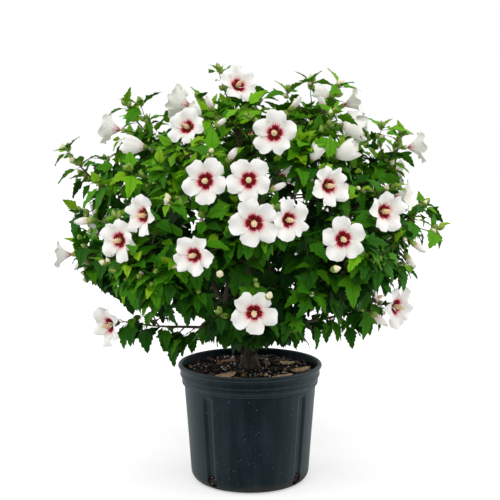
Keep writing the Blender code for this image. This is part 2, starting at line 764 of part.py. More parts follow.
def shoot_shell(line, foot_radius, size, roll, start_way=None):
    """A twig whose end widens into its last leaf, as one closed skin."""
    radii = taper(foot_radius, SHOOT_TIP_RADIUS, len(line))
    outwards = (line[-1] - CROWN_MIDDLE).normalized()
    points, faces = tube_shell(line, radii, 3, start_way=start_way)
    faces.pop()  # the twig stays open where the leaf begins
    last = list(range(len(points) - 3, len(points)))
    way, normal = leaf_frame(line[-1], (line[-1] - line[-2]).normalized(), outwards, roll)
    across = way.cross(normal)
    sides, tip = leaf_outline(size)
    numbers = list(range(len(points), len(points) + 4))
    points += placed([*sides, tip], line[-1], across, way, normal)
    start = nearest_turn([points[i] for i in last], [points[i] for i in numbers])
    faces += bridge(last, numbers[start:] + numbers[:start])
    faces += [(a, b, len(points) - 1) for a, b in zip(numbers, numbers[1:] + numbers[:1])]
    return points, faces


def nearest_turn(ring, other):
    """Which point of the other ring lies in the direction of the first point of this one."""
    middle, far = sum(ring, Vector()) / len(ring), sum(other, Vector()) / len(other)
    first = (ring[0] - middle).normalized()
    return max(range(len(other)), key=lambda i: (other[i] - far).normalized().dot(first))


def ring_of(radius, height, count, notch=1.0):
    """A ring of points. Every other one, from the second, is drawn in by the notch."""
    ring = []
    for i in range(count):
        turn = 2 * math.pi * i / count
        r = radius * (notch if i % 2 else 1.0)
        ring.append((math.cos(turn) * r, math.sin(turn) * r, height))
    return ring


def bloom_rings(bloom):
    """The rings of a bloom from its calyx forwards, and the tip that closes them."""
    if bloom.open_wide:
        radius = bloom.size / 2
        rim = ring_of(radius, radius * BLOOM_RIM_HEIGHT, 10, BLOOM_NOTCH)
        throat = ring_of(COLUMN_RADIUS, 0.0, 5)
        return [rim, throat], (0, 0, radius * BLOOM_COLUMN)
    length = bloom.size
    calyx = ring_of(length * FURLED_CALYX, length * 0.25, 4)
    roll = ring_of(length * FURLED_ROLL, length * 0.70, 4)
    return [calyx, roll], (0, 0, length)


def bridge(first, second):
    """Faces between two rings of point numbers that start at the same turn."""
    faces, a, b = [], 0, 0
    while a < len(first) or b < len(second):
        here = (first[a % len(first)], second[b % len(second)])
        if b == len(second) or (a < len(first) and (a + 1) / len(first) <= (b + 1) / len(second)):
            a += 1
            faces.append((*here, first[a % len(first)]))
        else:
            b += 1
            faces.append((*here, second[b % len(second)]))
    return faces


def bloom_shell(bloom, stalk):
    """A stalk whose end flares into an open or a furled bloom, as one closed skin."""
    points, faces = tube_shell(stalk, [SHOOT_RADIUS] * len(stalk), 3)
    faces.pop()  # the stalk stays open where the bloom begins
    last = list(range(len(points) - 3, len(points)))
    across = points[last[0]] - stalk[-1]
    across = (across - bloom.way * across.dot(bloom.way)).normalized()
    upright = bloom.way.cross(across)
    rings, tip = bloom_rings(bloom)
    for ring in rings:
        numbers = list(range(len(points), len(points) + len(ring)))
        points += placed(ring, bloom.place, across, upright, bloom.way)
        faces += bridge(last, numbers)
        last = numbers
    points += placed([tip], bloom.place, across, upright, bloom.way)
    faces += [(a, b, len(points) - 1) for a, b in zip(last, last[1:] + last[:1])]
    return points, faces


# ---------------------------------------------------------------- masses as solids


def crosses(shell, trees):
    own = tree_of(*shell)
    return any(tree.overlap(own) for tree in trees)


def leader_shell(mass):
    """The leader: a twig as thick as its limb's tip, squarely seated on it."""
    way = mass.limb.end_way()
    return shoot_shell(mass.leader, mass.limb.radii[-1], LEADER_LEAF, 0.0, start_way=way)


def claim_space(masses, obstacles):
    """Gives every mass its leader and blooms, and the tree of what each of them fills."""
    for mass in masses:
        mass.shells = [leader_shell(mass)]
        mass.lines = [(f"{mass.name} leader", mass.leader)]
        mass.tree = tree_of(*mass.shells[0])
    for mass in masses:
        others = [other.tree for other in masses if other is not mass]
        if crosses(mass.shells[0], others):
            print(f"{mass.name}: the leader crosses another mass")
        for bloom in mass.blooms:
            line = stalk_line(mass, bloom.stalk_end(), bloom.way)
            claim(mass, bloom.name, bloom_shell(bloom, line), line, [obstacles, *others])
        mass.tree = tree_of(*joined(mass.shells))
    for mass in masses:
        others = [other.tree for other in masses if other is not mass]
        heads = [head_tree(s, line) for s, (_, line) in zip(mass.shells[1:], mass.lines[1:])]
        for number, place in mass.spires:
            line = spire_line(mass, place)
            shell = shoot_shell(line, SHOOT_RADIUS, SPIRE_LEAF, 0.0)
            claim(mass, f"spire {number}", shell, line, [obstacles, *others, *heads])
        mass.tree = tree_of(*joined(mass.shells))


def claim(mass, name, shell, line, trees):
    """Adds a bloom or spire with its shoot to a mass, unless it would cross one of the trees."""
    if crosses(shell, trees):
        print(f"{mass.name}: no room for {name}")
    else:
        mass.shells.append(shell)
        mass.lines.append((f"{mass.name} {name}", line))


def grow_shoots(mass, masses, keep_clear):
    """The seeded shoots of a mass, without those that would touch a limb or a bloom."""
    trees = [*keep_clear, *[tree_of(*shell) for shell in mass.shells[1:]]]
    grown = []
    for number in range(SHOOTS_PER_MASS):
        line, size = shoot_line(mass, masses, number)
        if line is None:
            continue
        chance = random.Random(f"{mass.name} shoot {number} tip")
        shell = shoot_shell(line, SHOOT_RADIUS, size, chance.uniform(-LEAF_ROLL, LEAF_ROLL))
        if has_room(mass, masses, shell[0][-5:]) and not crosses(shell, trees):
            grown.append(shell)
            trees.append(tree_of(*shell))
            mass.lines.append((f"{mass.name} shoot {number}", line))
    mass.shells += grown
    return len(grown)


def head_tree(shell, line):
    """The tree of the bloom or leaf that ends a shoot, without the shoot itself."""
    points, faces = shell
    return tree_of(points, faces[3 * (len(line) - 1) + 1:])


def grow_leaves(mass, masses, keep_clear):
    """The leaves of a mass, each turned round its twig until it has room, or left out."""
    trees = list(keep_clear)
    leaves = []
    whole = [tree_of(*shell) for shell in mass.shells]
    spacing = LOW_LEAF_SPACING if mass.low else LEAF_SPACING
    for number, (name, line) in enumerate(mass.lines):
        own = [*whole[:number], *whole[number + 1:], head_tree(mass.shells[number], line)]
        for place, way, size, roll, twig_way in leaf_places(line, name, spacing):
            outwards = (place - CROWN_MIDDLE).normalized()
            for attempt in range(LEAF_TRIES):
                turned = Matrix.Rotation(math.radians(120) * attempt, 3, twig_way) @ way
                scale = size * (1 - LEAF_SHRINK * attempt)
                shell = leaf_shell(place, turned, scale, outwards, roll * (-1) ** attempt)
                if has_room(mass, masses, shell[0]) and not crosses(shell, trees + own):
                    leaves.append(shell)
                    trees.append(tree_of(*shell))
                    break
    return leaves


def has_room(mass, masses, points):
    """True inside the mass's own space, and not too far out of the crown."""
    for p in points:
        if p.z < leaf_floor(mass, p) or room(mass, masses, p) < CELL_MARGIN:
            return False
    return crown_share(points[-1]) < LEAF_LIMIT


def leaf_floor(mass, place):
    """The height that the leaves of a mass keep above at a place."""
    if mass.low:
        return LEAF_FLOOR + LEAF_FLOOR_RISE * abs(place.y)
    out = math.hypot(place.x, place.y)
    return SPARSE_FLOOR + SPARSE_RISE * max(0.0, out - SPARSE_FROM)


def fuse(name, shells, surface):
    """One body of overlapping shells, by one Boolean union on a collection."""
    first, *rest = [add_object(f"{name}_{i}", *s, surface) for i, s in enumerate(shells)]
    shapes = bpy.data.collections.new(f"{name}_shapes")
    for piece in rest:
        bpy.context.scene.collection.objects.unlink(piece)
        shapes.objects.link(piece)
    join = first.modifiers.new("join", "BOOLEAN")
    join.operation = "UNION"
    join.operand_type = "COLLECTION"
    join.collection = shapes
    join.solver = "MANIFOLD"
    apply_modifiers(first)
    for piece in rest:
        bpy.data.objects.remove(piece)
    bpy.data.collections.remove(shapes)
    keep_largest_body(first.data)
    first.name = first.data.name = name
    return first


def keep_largest_body(mesh):
    """Drops loose scraps, and fills hollows that the union sealed."""
    shell = bmesh.new()
    shell.from_mesh(mesh)
    bmesh.ops.triangulate(shell, faces=shell.faces)
    bmesh.ops.remove_doubles(shell, verts=shell.verts, dist=0.0002 * MM)
    bodies, seen = [], set()
    for face in shell.faces:
        if face in seen:
            continue
        body, stack = [], [face]
        seen.add(face)
        while stack:
            here = stack.pop()
            body.append(here)
            for edge in here.edges:
                for other in edge.link_faces if edge.is_manifold else ():
                    if other not in seen:
                        seen.add(other)
                        stack.append(other)
        bodies.append(body)
    bodies.sort(key=len)
    for body in bodies[:-1]:
        bmesh.ops.delete(shell, geom=body, context="FACES")
    shell.to_mesh(mesh)
    shell.free()


def main():
    for leftover in list(bpy.data.objects):
        bpy.data.objects.remove(leftover)
    materials = make_materials()
    make_pot(materials)
    make_soil(materials)
    trunk = plan_trunk()
    limbs, seats, leaders = plan_limbs(trunk)
    make_limbs(trunk, limbs, seats, materials)

    grown = [limb.shell(LIMB_MARGIN) for limb in (trunk, *limbs.values())]
    grown += [object_shell("pot"), object_shell("soil")]
    obstacles = tree_of(*joined(grown))
    masses = plan_masses(limbs, leaders)
    claim_space(masses, obstacles)
    leaves_in_all = 0
    for mass in masses:
        keep_clear = [obstacles, *[other.tree for other in masses if other is not mass]]
        shoots = grow_shoots(mass, masses, keep_clear)
        leaves = grow_leaves(mass, masses, keep_clear)
        foliage = fuse(f"foliage_{mass.name}", mass.shells + leaves, materials["leaf"])
        leaves_in_all += shoots + len(leaves)
        counts = f"{shoots} shoots, {len(leaves)} side leaves"
        print(f"{foliage.name}: {counts}, {len(foliage.data.polygons)} triangles")
    print(f"{leaves_in_all} leaves in all")


def object_shell(name):
    """The points, in millimetres, and faces of a finished object."""
    mesh = bpy.data.objects[name].data
    return [v.co / MM for v in mesh.vertices], [tuple(p.vertices) for p in mesh.polygons]


def joined(shells):
    points, faces = [], []
    for shell_points, shell_faces in shells:
        start = len(points)
        points += shell_points
        faces += [tuple(start + i for i in face) for face in shell_faces]
    return points, faces


main()
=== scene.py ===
# %% [markdown]
# # A hibiscus shrub in its nursery pot
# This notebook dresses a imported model: a shrub of the rose-of-Sharon kind, with white blooms that
# have a crimson eye, in a dark plastic pot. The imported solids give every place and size. Each
# step below makes one visible piece in their frame, and says which solids it stands in for.
# Sizes are in millimetres until a mesh is made, which is in metres.

import json
import math
import random
from math import cos, pi, radians, sin

import bmesh
import bpy
from mathutils import Matrix, Vector, noise

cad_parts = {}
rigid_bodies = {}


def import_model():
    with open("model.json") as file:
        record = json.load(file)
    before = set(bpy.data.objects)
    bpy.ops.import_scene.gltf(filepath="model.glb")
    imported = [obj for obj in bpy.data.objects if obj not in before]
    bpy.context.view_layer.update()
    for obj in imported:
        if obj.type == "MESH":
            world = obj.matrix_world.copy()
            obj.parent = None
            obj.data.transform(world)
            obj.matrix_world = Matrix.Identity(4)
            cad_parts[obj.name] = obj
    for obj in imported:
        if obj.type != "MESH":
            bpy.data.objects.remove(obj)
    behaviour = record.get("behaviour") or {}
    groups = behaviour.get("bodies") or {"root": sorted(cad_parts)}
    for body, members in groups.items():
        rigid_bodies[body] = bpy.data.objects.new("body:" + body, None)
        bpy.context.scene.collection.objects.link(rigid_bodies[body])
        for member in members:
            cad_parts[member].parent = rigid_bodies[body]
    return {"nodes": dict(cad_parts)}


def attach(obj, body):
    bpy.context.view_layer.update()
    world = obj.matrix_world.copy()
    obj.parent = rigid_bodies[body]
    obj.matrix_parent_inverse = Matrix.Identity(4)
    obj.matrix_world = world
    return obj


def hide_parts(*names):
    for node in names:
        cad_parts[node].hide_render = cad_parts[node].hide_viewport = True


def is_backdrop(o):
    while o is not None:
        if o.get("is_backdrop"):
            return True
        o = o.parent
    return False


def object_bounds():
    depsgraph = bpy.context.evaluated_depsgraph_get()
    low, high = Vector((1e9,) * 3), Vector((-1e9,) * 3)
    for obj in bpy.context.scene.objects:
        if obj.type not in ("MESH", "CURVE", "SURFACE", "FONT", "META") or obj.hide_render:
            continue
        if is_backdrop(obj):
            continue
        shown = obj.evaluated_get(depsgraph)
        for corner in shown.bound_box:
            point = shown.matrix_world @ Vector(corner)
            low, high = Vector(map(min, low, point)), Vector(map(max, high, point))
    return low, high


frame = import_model()
cad_low, cad_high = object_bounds()
MM = 0.001
UP = Vector((0, 0, 1))
GOLDEN_TURN = radians(137.508)
GOLDEN_SHARE = 0.618034
print("solids:", len(frame["nodes"]), "box:", [round(v, 3) for v in (*cad_low, *cad_high)])

# %% [markdown]
# ## Turns and shares
# Five small rules come back in every step: the angles of a ring's points, a direction, a place
# round the axis, a value between two ends, and a soft step from 0 to 1.

# %% Turns and shares
def turns(count):
    """The angles of a ring of so many points."""
    return [2 * pi * i / count for i in range(count)]


def facing(turn, tilt):
    """A direction: turn is in degrees to the right of the front, tilt in degrees up."""
    a, e = radians(turn), radians(tilt)
    return Vector((sin(a) * cos(e), -cos(a) * cos(e), sin(e)))


def round_axis(turn, radius=1, height=0):
    """A place at a turn round the Z axis, or the way out there."""
    return Vector((radius * sin(turn), -radius * cos(turn), height))


def taper(first, last, share):
    return first + (last - first) * share


def smooth_step(value, low, high):
    share = min(max((value - low) / (high - low), 0.0), 1.0)
    return share * share * (3 - 2 * share)


print("half way up a soft step:", smooth_step(0.5, 0, 1))

# %% [markdown]
# ## Arithmetic on sockets
# A material is a small computation, and so is a Geometry Nodes tree. A socket in a class with
# Python's operators lets both be written as expressions, such as `grain * 0.3 + 0.5`: each
# operator adds its Math node. Anything else comes from one method, `add`, that takes the node's
# type, its settings and the values or links of its sockets.

# %% Arithmetic on sockets
MIX_SOCKETS, MIX_RESULT = (0, 6, 7), 2  # where a Mix node keeps its share, its colours and the result


class Value:
    """A socket of a node tree. Arithmetic on it adds Math nodes."""

    def __init__(self, nodes, node, socket):
        self.nodes, self.node, self.socket = nodes, node, socket

    def __getitem__(self, name):
        return Value(self.nodes, self.node, self.node.outputs[name])

    def math(self, operation, *others):
        return self.nodes.math(operation, self, *others)

    def __add__(self, other):
        return self.math("ADD", other)

    def __sub__(self, other):
        return self.math("SUBTRACT", other)

    def __rsub__(self, other):
        return self.nodes.math("SUBTRACT", other, self)

    def __mul__(self, other):
        return self.math("MULTIPLY", other)

    def above(self, edge, soft):
        """0 below the edge, 1 above it, over a soft band."""
        ends = {"Value": self, "From Min": edge - soft, "From Max": edge + soft}
        return self.nodes.add("ShaderNodeMapRange", {"interpolation_type": "SMOOTHSTEP"}, ends)

    __radd__, __rmul__ = __add__, __mul__


class Nodes:
    """A node tree, and the one way in which nodes are added to it."""

    def __init__(self, tree):
        self.tree = tree

    def add(self, kind, settings=None, sockets=None, output=0):
        node = self.tree.nodes.new(kind)
        for name, value in (settings or {}).items():
            setattr(node, name, value)
        for name, value in (sockets or {}).items():
            if isinstance(value, Value):
                self.tree.links.new(value.socket, node.inputs[name])
            else:
                node.inputs[name].default_value = value
        return Value(self, node, node.outputs[output] if node.outputs else None)

    def math(self, operation, *values):
        return self.add("ShaderNodeMath", {"operation": operation}, dict(enumerate(values)))

    def mix(self, share, first, second):
        """Colours mixed by a share."""
        colours = [c if isinstance(c, Value) else (*c, 1.0) for c in (first, second)]
        sockets = dict(zip(MIX_SOCKETS, (share, *colours)))
        return self.add("ShaderNodeMix", {"data_type": "RGBA"}, sockets, MIX_RESULT)

    def noise(self, place, scale, detail=3.0, roughness=0.55):
        sockets = {"Vector": place, "Scale": scale, "Detail": detail, "Roughness": roughness}
        return self.add("ShaderNodeTexNoise", None, sockets)

    def stretched(self, place, scale):
        """Coordinates scaled by a vector, which stretches what reads them."""
        return self.add("ShaderNodeVectorMath", {"operation": "MULTIPLY"}, {0: place, 1: scale})

    def height(self, vector):
        """The Z of a vector."""
        return self.add("ShaderNodeSeparateXYZ", None, {0: vector})["Z"]


def surface(name, build=None, **plain):
    """A material. Its plain values are set on the shader, and build links what varies."""
    made = bpy.data.materials.new(name)
    made.use_nodes = True
    shader = made.node_tree.nodes["Principled BSDF"]
    for socket, value in plain.items():
        value = (*value, 1.0) if isinstance(value, tuple) else value
        shader.inputs[socket.replace("_", " ")].default_value = value
    if build:
        nodes = Nodes(made.node_tree)
        place = nodes.add("ShaderNodeTexCoord")["Object"]
        for socket, value in build(nodes, place).items():
            made.node_tree.links.new(value.socket, shader.inputs[socket])
    return made


def relief(nodes, height, depth, strength=1.0):
    """A Bump node: depth in metres is how tall a height of 1 stands."""
    return nodes.add("ShaderNodeBump", None, {"Height": height, "Distance": depth, "Strength": strength})


print("socket arithmetic is ready")

# %% [markdown]
# ## Camera, floor and light
# The shrub is seen from a little above its middle, from 2.4 m away with a long lens. A pale floor
# and an even sky stand for a white studio. The sky that the camera sees is pure
# white, but it casts only half as much light. That leaves room for three large soft lamps: a key
# lamp high in front, and one low at each side, which draws the pale edges on the dark pot. A lamp
# is a sun with a wide disc, as strong far off as it is near. A Light Path node tells the camera
# from the light, so the floor glows for the camera alone: it stays white up to the horizon and
# throws no light up under the leaves.

# %% Camera, floor and light
CAMERA_PLACE = (0, -2.4, 0.771)
CAMERA_DOWN = radians(7.62)
CAMERA_LENS = 90.94
SKY_SEEN, SKY_LIGHT = 1.0, 0.56  # the sky's strength for the camera, and as a light
# name: turn from the front, height over the horizon in degrees, strength.
LAMPS = {"key": (-4, 52, 1.5), "left_side": (-98, 16, 1.25), "right_side": (98, 16, 1.4)}
LAMP_WIDTH = radians(50)
FLOOR_HALF, FLOOR_GREY, FLOOR_GLOW = 8.0, 0.66, 0.46


def put(name, data):
    """An object in the scene that holds this data."""
    made = bpy.data.objects.new(name, data)
    bpy.context.scene.collection.objects.link(made)
    return made


def add_camera():
    data = bpy.data.cameras.new("camera")
    data.lens = CAMERA_LENS
    camera = put("camera", data)
    camera.location = CAMERA_PLACE
    camera.rotation_euler = (radians(90) - CAMERA_DOWN, 0, 0)
    bpy.context.scene.camera = camera


def add_lamp(name, turn, tilt, strength):
    data = bpy.data.lights.new(name, "SUN")
    data.energy = strength
    data.angle = LAMP_WIDTH
    put(name, data).rotation_euler = facing(turn, tilt).to_track_quat("Z", "Y").to_euler()


def add_sky():
    sky = bpy.data.worlds.new("studio")
    sky.use_nodes = True
    nodes = Nodes(sky.node_tree)
    back = sky.node_tree.nodes["Background"]
    back.inputs["Color"].default_value = (1, 1, 1, 1)
    seen = nodes.add("ShaderNodeLightPath")["Is Camera Ray"]
    strength = seen * (SKY_SEEN - SKY_LIGHT) + SKY_LIGHT
    sky.node_tree.links.new(strength.socket, back.inputs["Strength"])
    bpy.context.scene.world = sky


def seen_glow(nodes, place):
    """A glow that only the camera sees."""
    return {"Emission Color": nodes.add("ShaderNodeLightPath")["Is Camera Ray"]}


def add_floor():
    mesh = bpy.data.meshes.new("floor")
    corners = [(x * FLOOR_HALF, y * FLOOR_HALF, 0) for x, y in ((-1, -1), (1, -1), (1, 1), (-1, 1))]
    mesh.from_pydata(corners, [], [(0, 1, 2, 3)])
    mesh.materials.append(surface("floor_white", seen_glow, Base_Color=(FLOOR_GREY,) * 3, Roughness=0.9,
                                  Emission_Strength=FLOOR_GLOW))
    put("floor", mesh)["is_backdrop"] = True


add_camera()
add_sky()
add_floor()
for lamp_name, settings in LAMPS.items():
    add_lamp(lamp_name, *settings)
bpy.context.scene.view_settings.view_transform = "Standard"
print("camera at", CAMERA_PLACE, "looking", round(math.degrees(CAMERA_DOWN), 2), "degrees down")

# %% [markdown]
# ## Sheets and skins
# A petal or a leaf is a sheet: rows of points with a face between each four. Rows that are rings
# make a tube, and a tube with closed ends is the skin of something solid. One class collects
# them. Each face has a tint, a number that picks its material, and each point has a mark, its
# place on a pattern.

# %% Sheets and skins
class Shape:
    """Points with their marks, and faces with their tints."""

    def __init__(self):
        self.points, self.faces, self.tints, self.marks = [], [], [], []

    def add_sheet(self, rows, tint=0, closed=False):
        """A sheet of rows of points. Tint is a number, or a function of row and column."""
        start, count = len(self.points), len(rows[0])
        for r, row in enumerate(rows):
            for c, point in enumerate(row):
                self.points.append(Vector(point))
                self.marks.append((c / max(1, count - 1), r / (len(rows) - 1)))
        for r in range(len(rows) - 1):
            for c in range(count if closed else count - 1):
                a, b = start + r * count + c, start + r * count + (c + 1) % count
                self.faces.append((a, b, b + count, a + count))
                self.tints.append(tint(r, c) if callable(tint) else tint)

    def add_skin(self, rings, tint=0):
        """A tube of rings with both ends closed."""
        count, start = len(rings[0]), len(self.points)
        self.add_sheet(rings, tint, closed=True)
        last = start + (len(rings) - 1) * count
        self.faces += [tuple(range(start, start + count))[::-1], tuple(range(last, last + count))]
        self.tints += [self.tints[-1]] * 2

    def add(self, other, place=Vector):
        """All of another shape. Place gives each of its points its new place."""
        start = len(self.points)
        self.points += [place(point) for point in other.points]
        self.faces += [tuple(start + i for i in face) for face in other.faces]
        self.tints += other.tints
        self.marks += other.marks

    def parts(self):
        return self.points, self.faces, self.tints, self.marks


def skin_over(rings):
    """Points and faces of a skin over rings of equal count."""
    shape = Shape()
    shape.add_skin(rings)
    return shape.points, shape.faces


print("points and faces of a small box:", [len(p) for p in skin_over([[(0, 0, z)] * 4 for z in (0, 1)])])

# %% [markdown]
# ## Meshes from points
# Every piece ends as one plain mesh at the origin, with its place in its points, and rides on the
# model's only body. These helpers make such a mesh and hand a finished piece to the frame.

# %% Meshes from points
def new_object(name, points, faces, materials=(), edges=()):
    mesh = bpy.data.meshes.new(name)
    mesh.from_pydata([tuple(Vector(p) * MM) for p in points], list(edges), faces)
    for material in materials:
        mesh.materials.append(material)
    if faces:
        mesh.shade_smooth()
    return put(name, mesh)


def face_outwards(piece):
    shell = bmesh.new()
    shell.from_mesh(piece.data)
    bmesh.ops.remove_doubles(shell, verts=shell.verts, dist=0.01 * MM)
    bmesh.ops.recalc_face_normals(shell, faces=shell.faces)
    shell.to_mesh(piece.data)
    shell.free()


def apply_modifiers(piece):
    """Turns what the modifiers make into the piece's own mesh."""
    graph = bpy.context.evaluated_depsgraph_get()
    result = bpy.data.meshes.new_from_object(piece.evaluated_get(graph))
    result.name = piece.name
    piece.modifiers.clear()
    piece.data = result


def hand_over(piece, slot, *nodes):
    """The piece rides on the model's one body and stands for these solids."""
    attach(piece, "root")
    if nodes:
        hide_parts(*nodes)
    triangles = sum(len(p.vertices) - 2 for p in piece.data.polygons)
    print(f"{piece.name}: {triangles} triangles")


print("mesh helpers are ready")

# %% [markdown]
# ## The pot's plastic
# Nursery pots are blow-moulded from dark recycled plastic, nearly black with a slate-blue cast.
# It is satin where it is clean, and duller where dust, mud and scuffs lie. Noise at several scales
# lays upright streaks of dust, pale specks of grit and a brown tide of mud at the foot. A Layer
# Weight node paints a pale sheen where the wall turns away towards its edges, a painted reflection,
# and the height of the normal lightens ledges that face up, partly dust and partly a painted
# highlight. Dust also roughens the sheen, so colour and gloss change together.

# %% The pot's plastic
POT_SLATE = (0.0014, 0.0070, 0.0108)
POT_DUST = (0.012, 0.025, 0.032)
POT_MUD = (0.048, 0.039, 0.032)
POT_DUST_AND_SHEEN = (0.105, 0.135, 0.140)
POT_GRIT = (0.13, 0.145, 0.15)
MUD_LINE = 0.013  # metres above the floor
SHEEN_BLEND, SHEEN_ASIDE, LEDGE_DUST_AND_SHEEN = 0.33, 0.8, 0.28  # how far the painted sheen reaches, its strength at the edges, and on ledges dust and painted highlight


def plastic(nodes, place):
    streaks = nodes.noise(nodes.stretched(place, (1, 1, 0.06)), 70, 4)
    clouds = nodes.noise(place, 14, 5)
    specks = nodes.noise(place, 260, 1).above(0.745, 0.02)
    scuffs = nodes.noise(nodes.stretched(place, (1, 1, 3.5)), 90, 3).above(0.66, 0.03)
    grain = nodes.noise(place, 900, 2)
    dust = (clouds * 0.4 + streaks * 0.6).above(0.52, 0.12) * 0.7
    mud = (MUD_LINE - nodes.height(place) + clouds * 0.05 - 0.026).above(0, 0.010) * 0.6
    # painted sheen: a pale film towards the wall's edges stands in for a reflection; on ledges that face up
    # it is partly dust and partly a painted highlight
    aside = nodes.add("ShaderNodeLayerWeight", None, {"Blend": SHEEN_BLEND})["Facing"]
    upward = nodes.height(nodes.add("ShaderNodeNewGeometry")["Normal"])
    dust_and_sheen = aside * SHEEN_ASIDE + upward.above(0.35, 0.2) * LEDGE_DUST_AND_SHEEN
    colour = nodes.mix(dust, POT_SLATE, POT_DUST)
    colour = nodes.mix(dust_and_sheen, colour, POT_DUST_AND_SHEEN)
    colour = nodes.mix(scuffs * 0.35, colour, POT_DUST)
    colour = nodes.mix(mud, colour, POT_MUD)
    colour = nodes.mix(specks * 0.75, colour, POT_GRIT)
    rough = dust * 0.16 + mud * 0.3 + scuffs * 0.1 + 0.30
    bumps = relief(nodes, grain + clouds * 3, 0.0004, 0.5)
    return {"Base Color": colour, "Roughness": rough, "Normal": bumps}


pot_plastic = surface("pot_plastic", plastic, Specular_IOR_Level=0.08)
print("made", pot_plastic.name)

# %% [markdown]
# ## The pot
# The pot is a thin wall turned round an axis, so its shape is a profile: pairs of radius and
# height, up the outside and down the inside. At four shallow flutes each ring's radius dips by a
# soft step, and below each flute a Boolean cuts a drain hole through the rounded foot. The wall
# sags in a little between its flutes.

# %% The pot
POT_HEIGHT, LIP_RADIUS, BAND_RADIUS, BEAD_RADIUS = 231.0, 139.2, 135.3, 132.8
WALL_TOP, WALL_TOP_RADIUS, WALL_FOOT_RADIUS = 190.0, 127.4, 114.9
CORNER, WALL, LIP_HALF = 22.0, 1.8, 4.2
SAG = 0.35  # how far the wall swings out at its flutes and in between them
FLUTE_TURNS = [radians(a) for a in (-39, 51, 141, 231)]
FLUTE_FOOT, FLUTE_HEAD, FLUTE_DEPTH = 26.0, 184.0, 3.4
FLUTE_HALF_WIDTH, FLUTE_SLOPE = radians(3.1), radians(1.5)
POT_SIDES = 240
DRAIN_RADIUS, DRAIN_HEIGHT, DRAIN_TILT, DRAIN_SIDES = 12.0, 19.0, radians(15), 24
DRAIN_INWARDS, DRAIN_OUTWARDS = 14, 22  # how far its cutter reaches both ways


def flute_dip(turn, height):
    """How far the wall is drawn in at a flute."""
    off = (turn - FLUTE_TURNS[0] + pi / 4) % (pi / 2) - pi / 4
    across = 1 - smooth_step(abs(off), FLUTE_HALF_WIDTH, FLUTE_HALF_WIDTH + FLUTE_SLOPE)
    up = smooth_step(height, FLUTE_FOOT - 12, FLUTE_FOOT)
    up *= 1 - smooth_step(height, FLUTE_HEAD - 5, FLUTE_HEAD)
    return FLUTE_DEPTH * across * up


def turned(radius, height):
    """A ring of the wall, with its flutes."""
    ring = []
    for turn in turns(POT_SIDES):
        sag = SAG * cos(4 * (turn - FLUTE_TURNS[0])) * smooth_step(height, 20, 90)
        sag *= 1 - smooth_step(height, 130, WALL_TOP)
        r = radius - flute_dip(turn, height) + sag
        ring.append(round_axis(turn, r, height))
    return ring


def corner_arc(radius, degrees):
    """Points of the round between the underside and the wall."""
    foot = WALL_FOOT_RADIUS - CORNER
    angles = [radians(d) for d in degrees]
    return [(foot + radius * sin(a), CORNER - radius * cos(a)) for a in angles]


def pot_profile():
    foot, bead, band = WALL_FOOT_RADIUS - CORNER, BEAD_RADIUS, BAND_RADIUS
    profile = [(foot * 0.5, 1.2), (foot * 0.9, 0.6)]
    profile += corner_arc(CORNER, [90 * i / 8 for i in range(9)])
    slope = (WALL_TOP_RADIUS - WALL_FOOT_RADIUS) / (WALL_TOP - CORNER)
    heights = (26, 34, 60, 90, 120, 150, 170, 178, 181, 184, 187, WALL_TOP)
    profile += [(WALL_FOOT_RADIUS + (h - CORNER) * slope, h) for h in heights]
    arch = [(bead - 2.6 + 1.6 * sin(pi * i / 4), 191.5 + 5.5 * i / 4) for i in range(5)]
    profile += arch + [(bead - 2.2, 198.2), (bead - 0.8, 199.4), (bead - 0.4, 204.5)]
    profile += [(bead - 1.2, 206.2), (band - 0.8, 207.4), (band, 209.0), (band, 213.0)]
    profile += [(band - 0.9, 215.0), (band - 0.2, 217.0), (band, 220.5), (band + 0.8, 222.0)]
    middle, half = POT_HEIGHT - LIP_HALF, LIP_HALF
    lip = [radians(a) for a in range(-60, 151, 15)]
    return profile + [(LIP_RADIUS - half + half * cos(a), middle + half * sin(a)) for a in lip]


def cut_drain(pot, turn):
    out = round_axis(turn)
    way = out * cos(DRAIN_TILT) - UP * sin(DRAIN_TILT)
    middle = out * (WALL_FOOT_RADIUS - 5) + UP * DRAIN_HEIGHT
    side = way.cross(UP).normalized()
    other = way.cross(side)
    edge = [(side * cos(a) + other * sin(a)) * DRAIN_RADIUS for a in turns(DRAIN_SIDES)]
    ends = (middle - way * DRAIN_INWARDS, middle + way * DRAIN_OUTWARDS)
    cutter = new_object("drain_cutter", *skin_over([[end + e for e in edge] for end in ends]))
    face_outwards(cutter)
    knife = pot.modifiers.new("drain", "BOOLEAN")
    knife.operation = "DIFFERENCE"
    knife.object = cutter
    apply_modifiers(pot)
    bpy.data.objects.remove(cutter)


def make_pot():
    outside = pot_profile()
    inner = [(r - WALL, h) for r, h in reversed(outside)]
    inside = [(r, h) for r, h in inner if WALL_TOP + 2 < h < 222 or CORNER + 2 < h <= WALL_TOP]
    inside += corner_arc(CORNER - WALL, (90, 68, 45, 22, 0))
    skin = skin_over([turned(r, h) for r, h in outside + inside])
    pot = new_object("nursery_pot", *skin, [pot_plastic])
    face_outwards(pot)
    for turn in FLUTE_TURNS:
        cut_drain(pot, turn)
    pot.data.set_sharp_from_angle(angle=radians(50))
    return pot


hand_over(make_pot(), "pot_plastic", "pot")

# %% [markdown]
# ## A tree that deals out shapes
# Perlite, chips, leaves, blooms and buds all come about in the same way: on each of a set of
# points stands one of a few given shapes. That is a job for Geometry Nodes. The points carry
# attributes: the way that the shape's own Y axis points, the way its face looks, its size and
# which shape it is. The tree turns a copy of the shape that way, realizes the copies and gives
# them materials by their tint, which is either dealt by a seeded chance to whole shapes, or
# already stands on the shapes' faces, as on a petal that is red at its foot.

# %% A tree that deals out shapes
POINT_ATTRIBUTES = {"way": "FLOAT_VECTOR", "look": "FLOAT_VECTOR", "size": "FLOAT", "kind": "INT"}
TINT_DRAW = 7  # sets the draw of tints apart from the draw of sizes


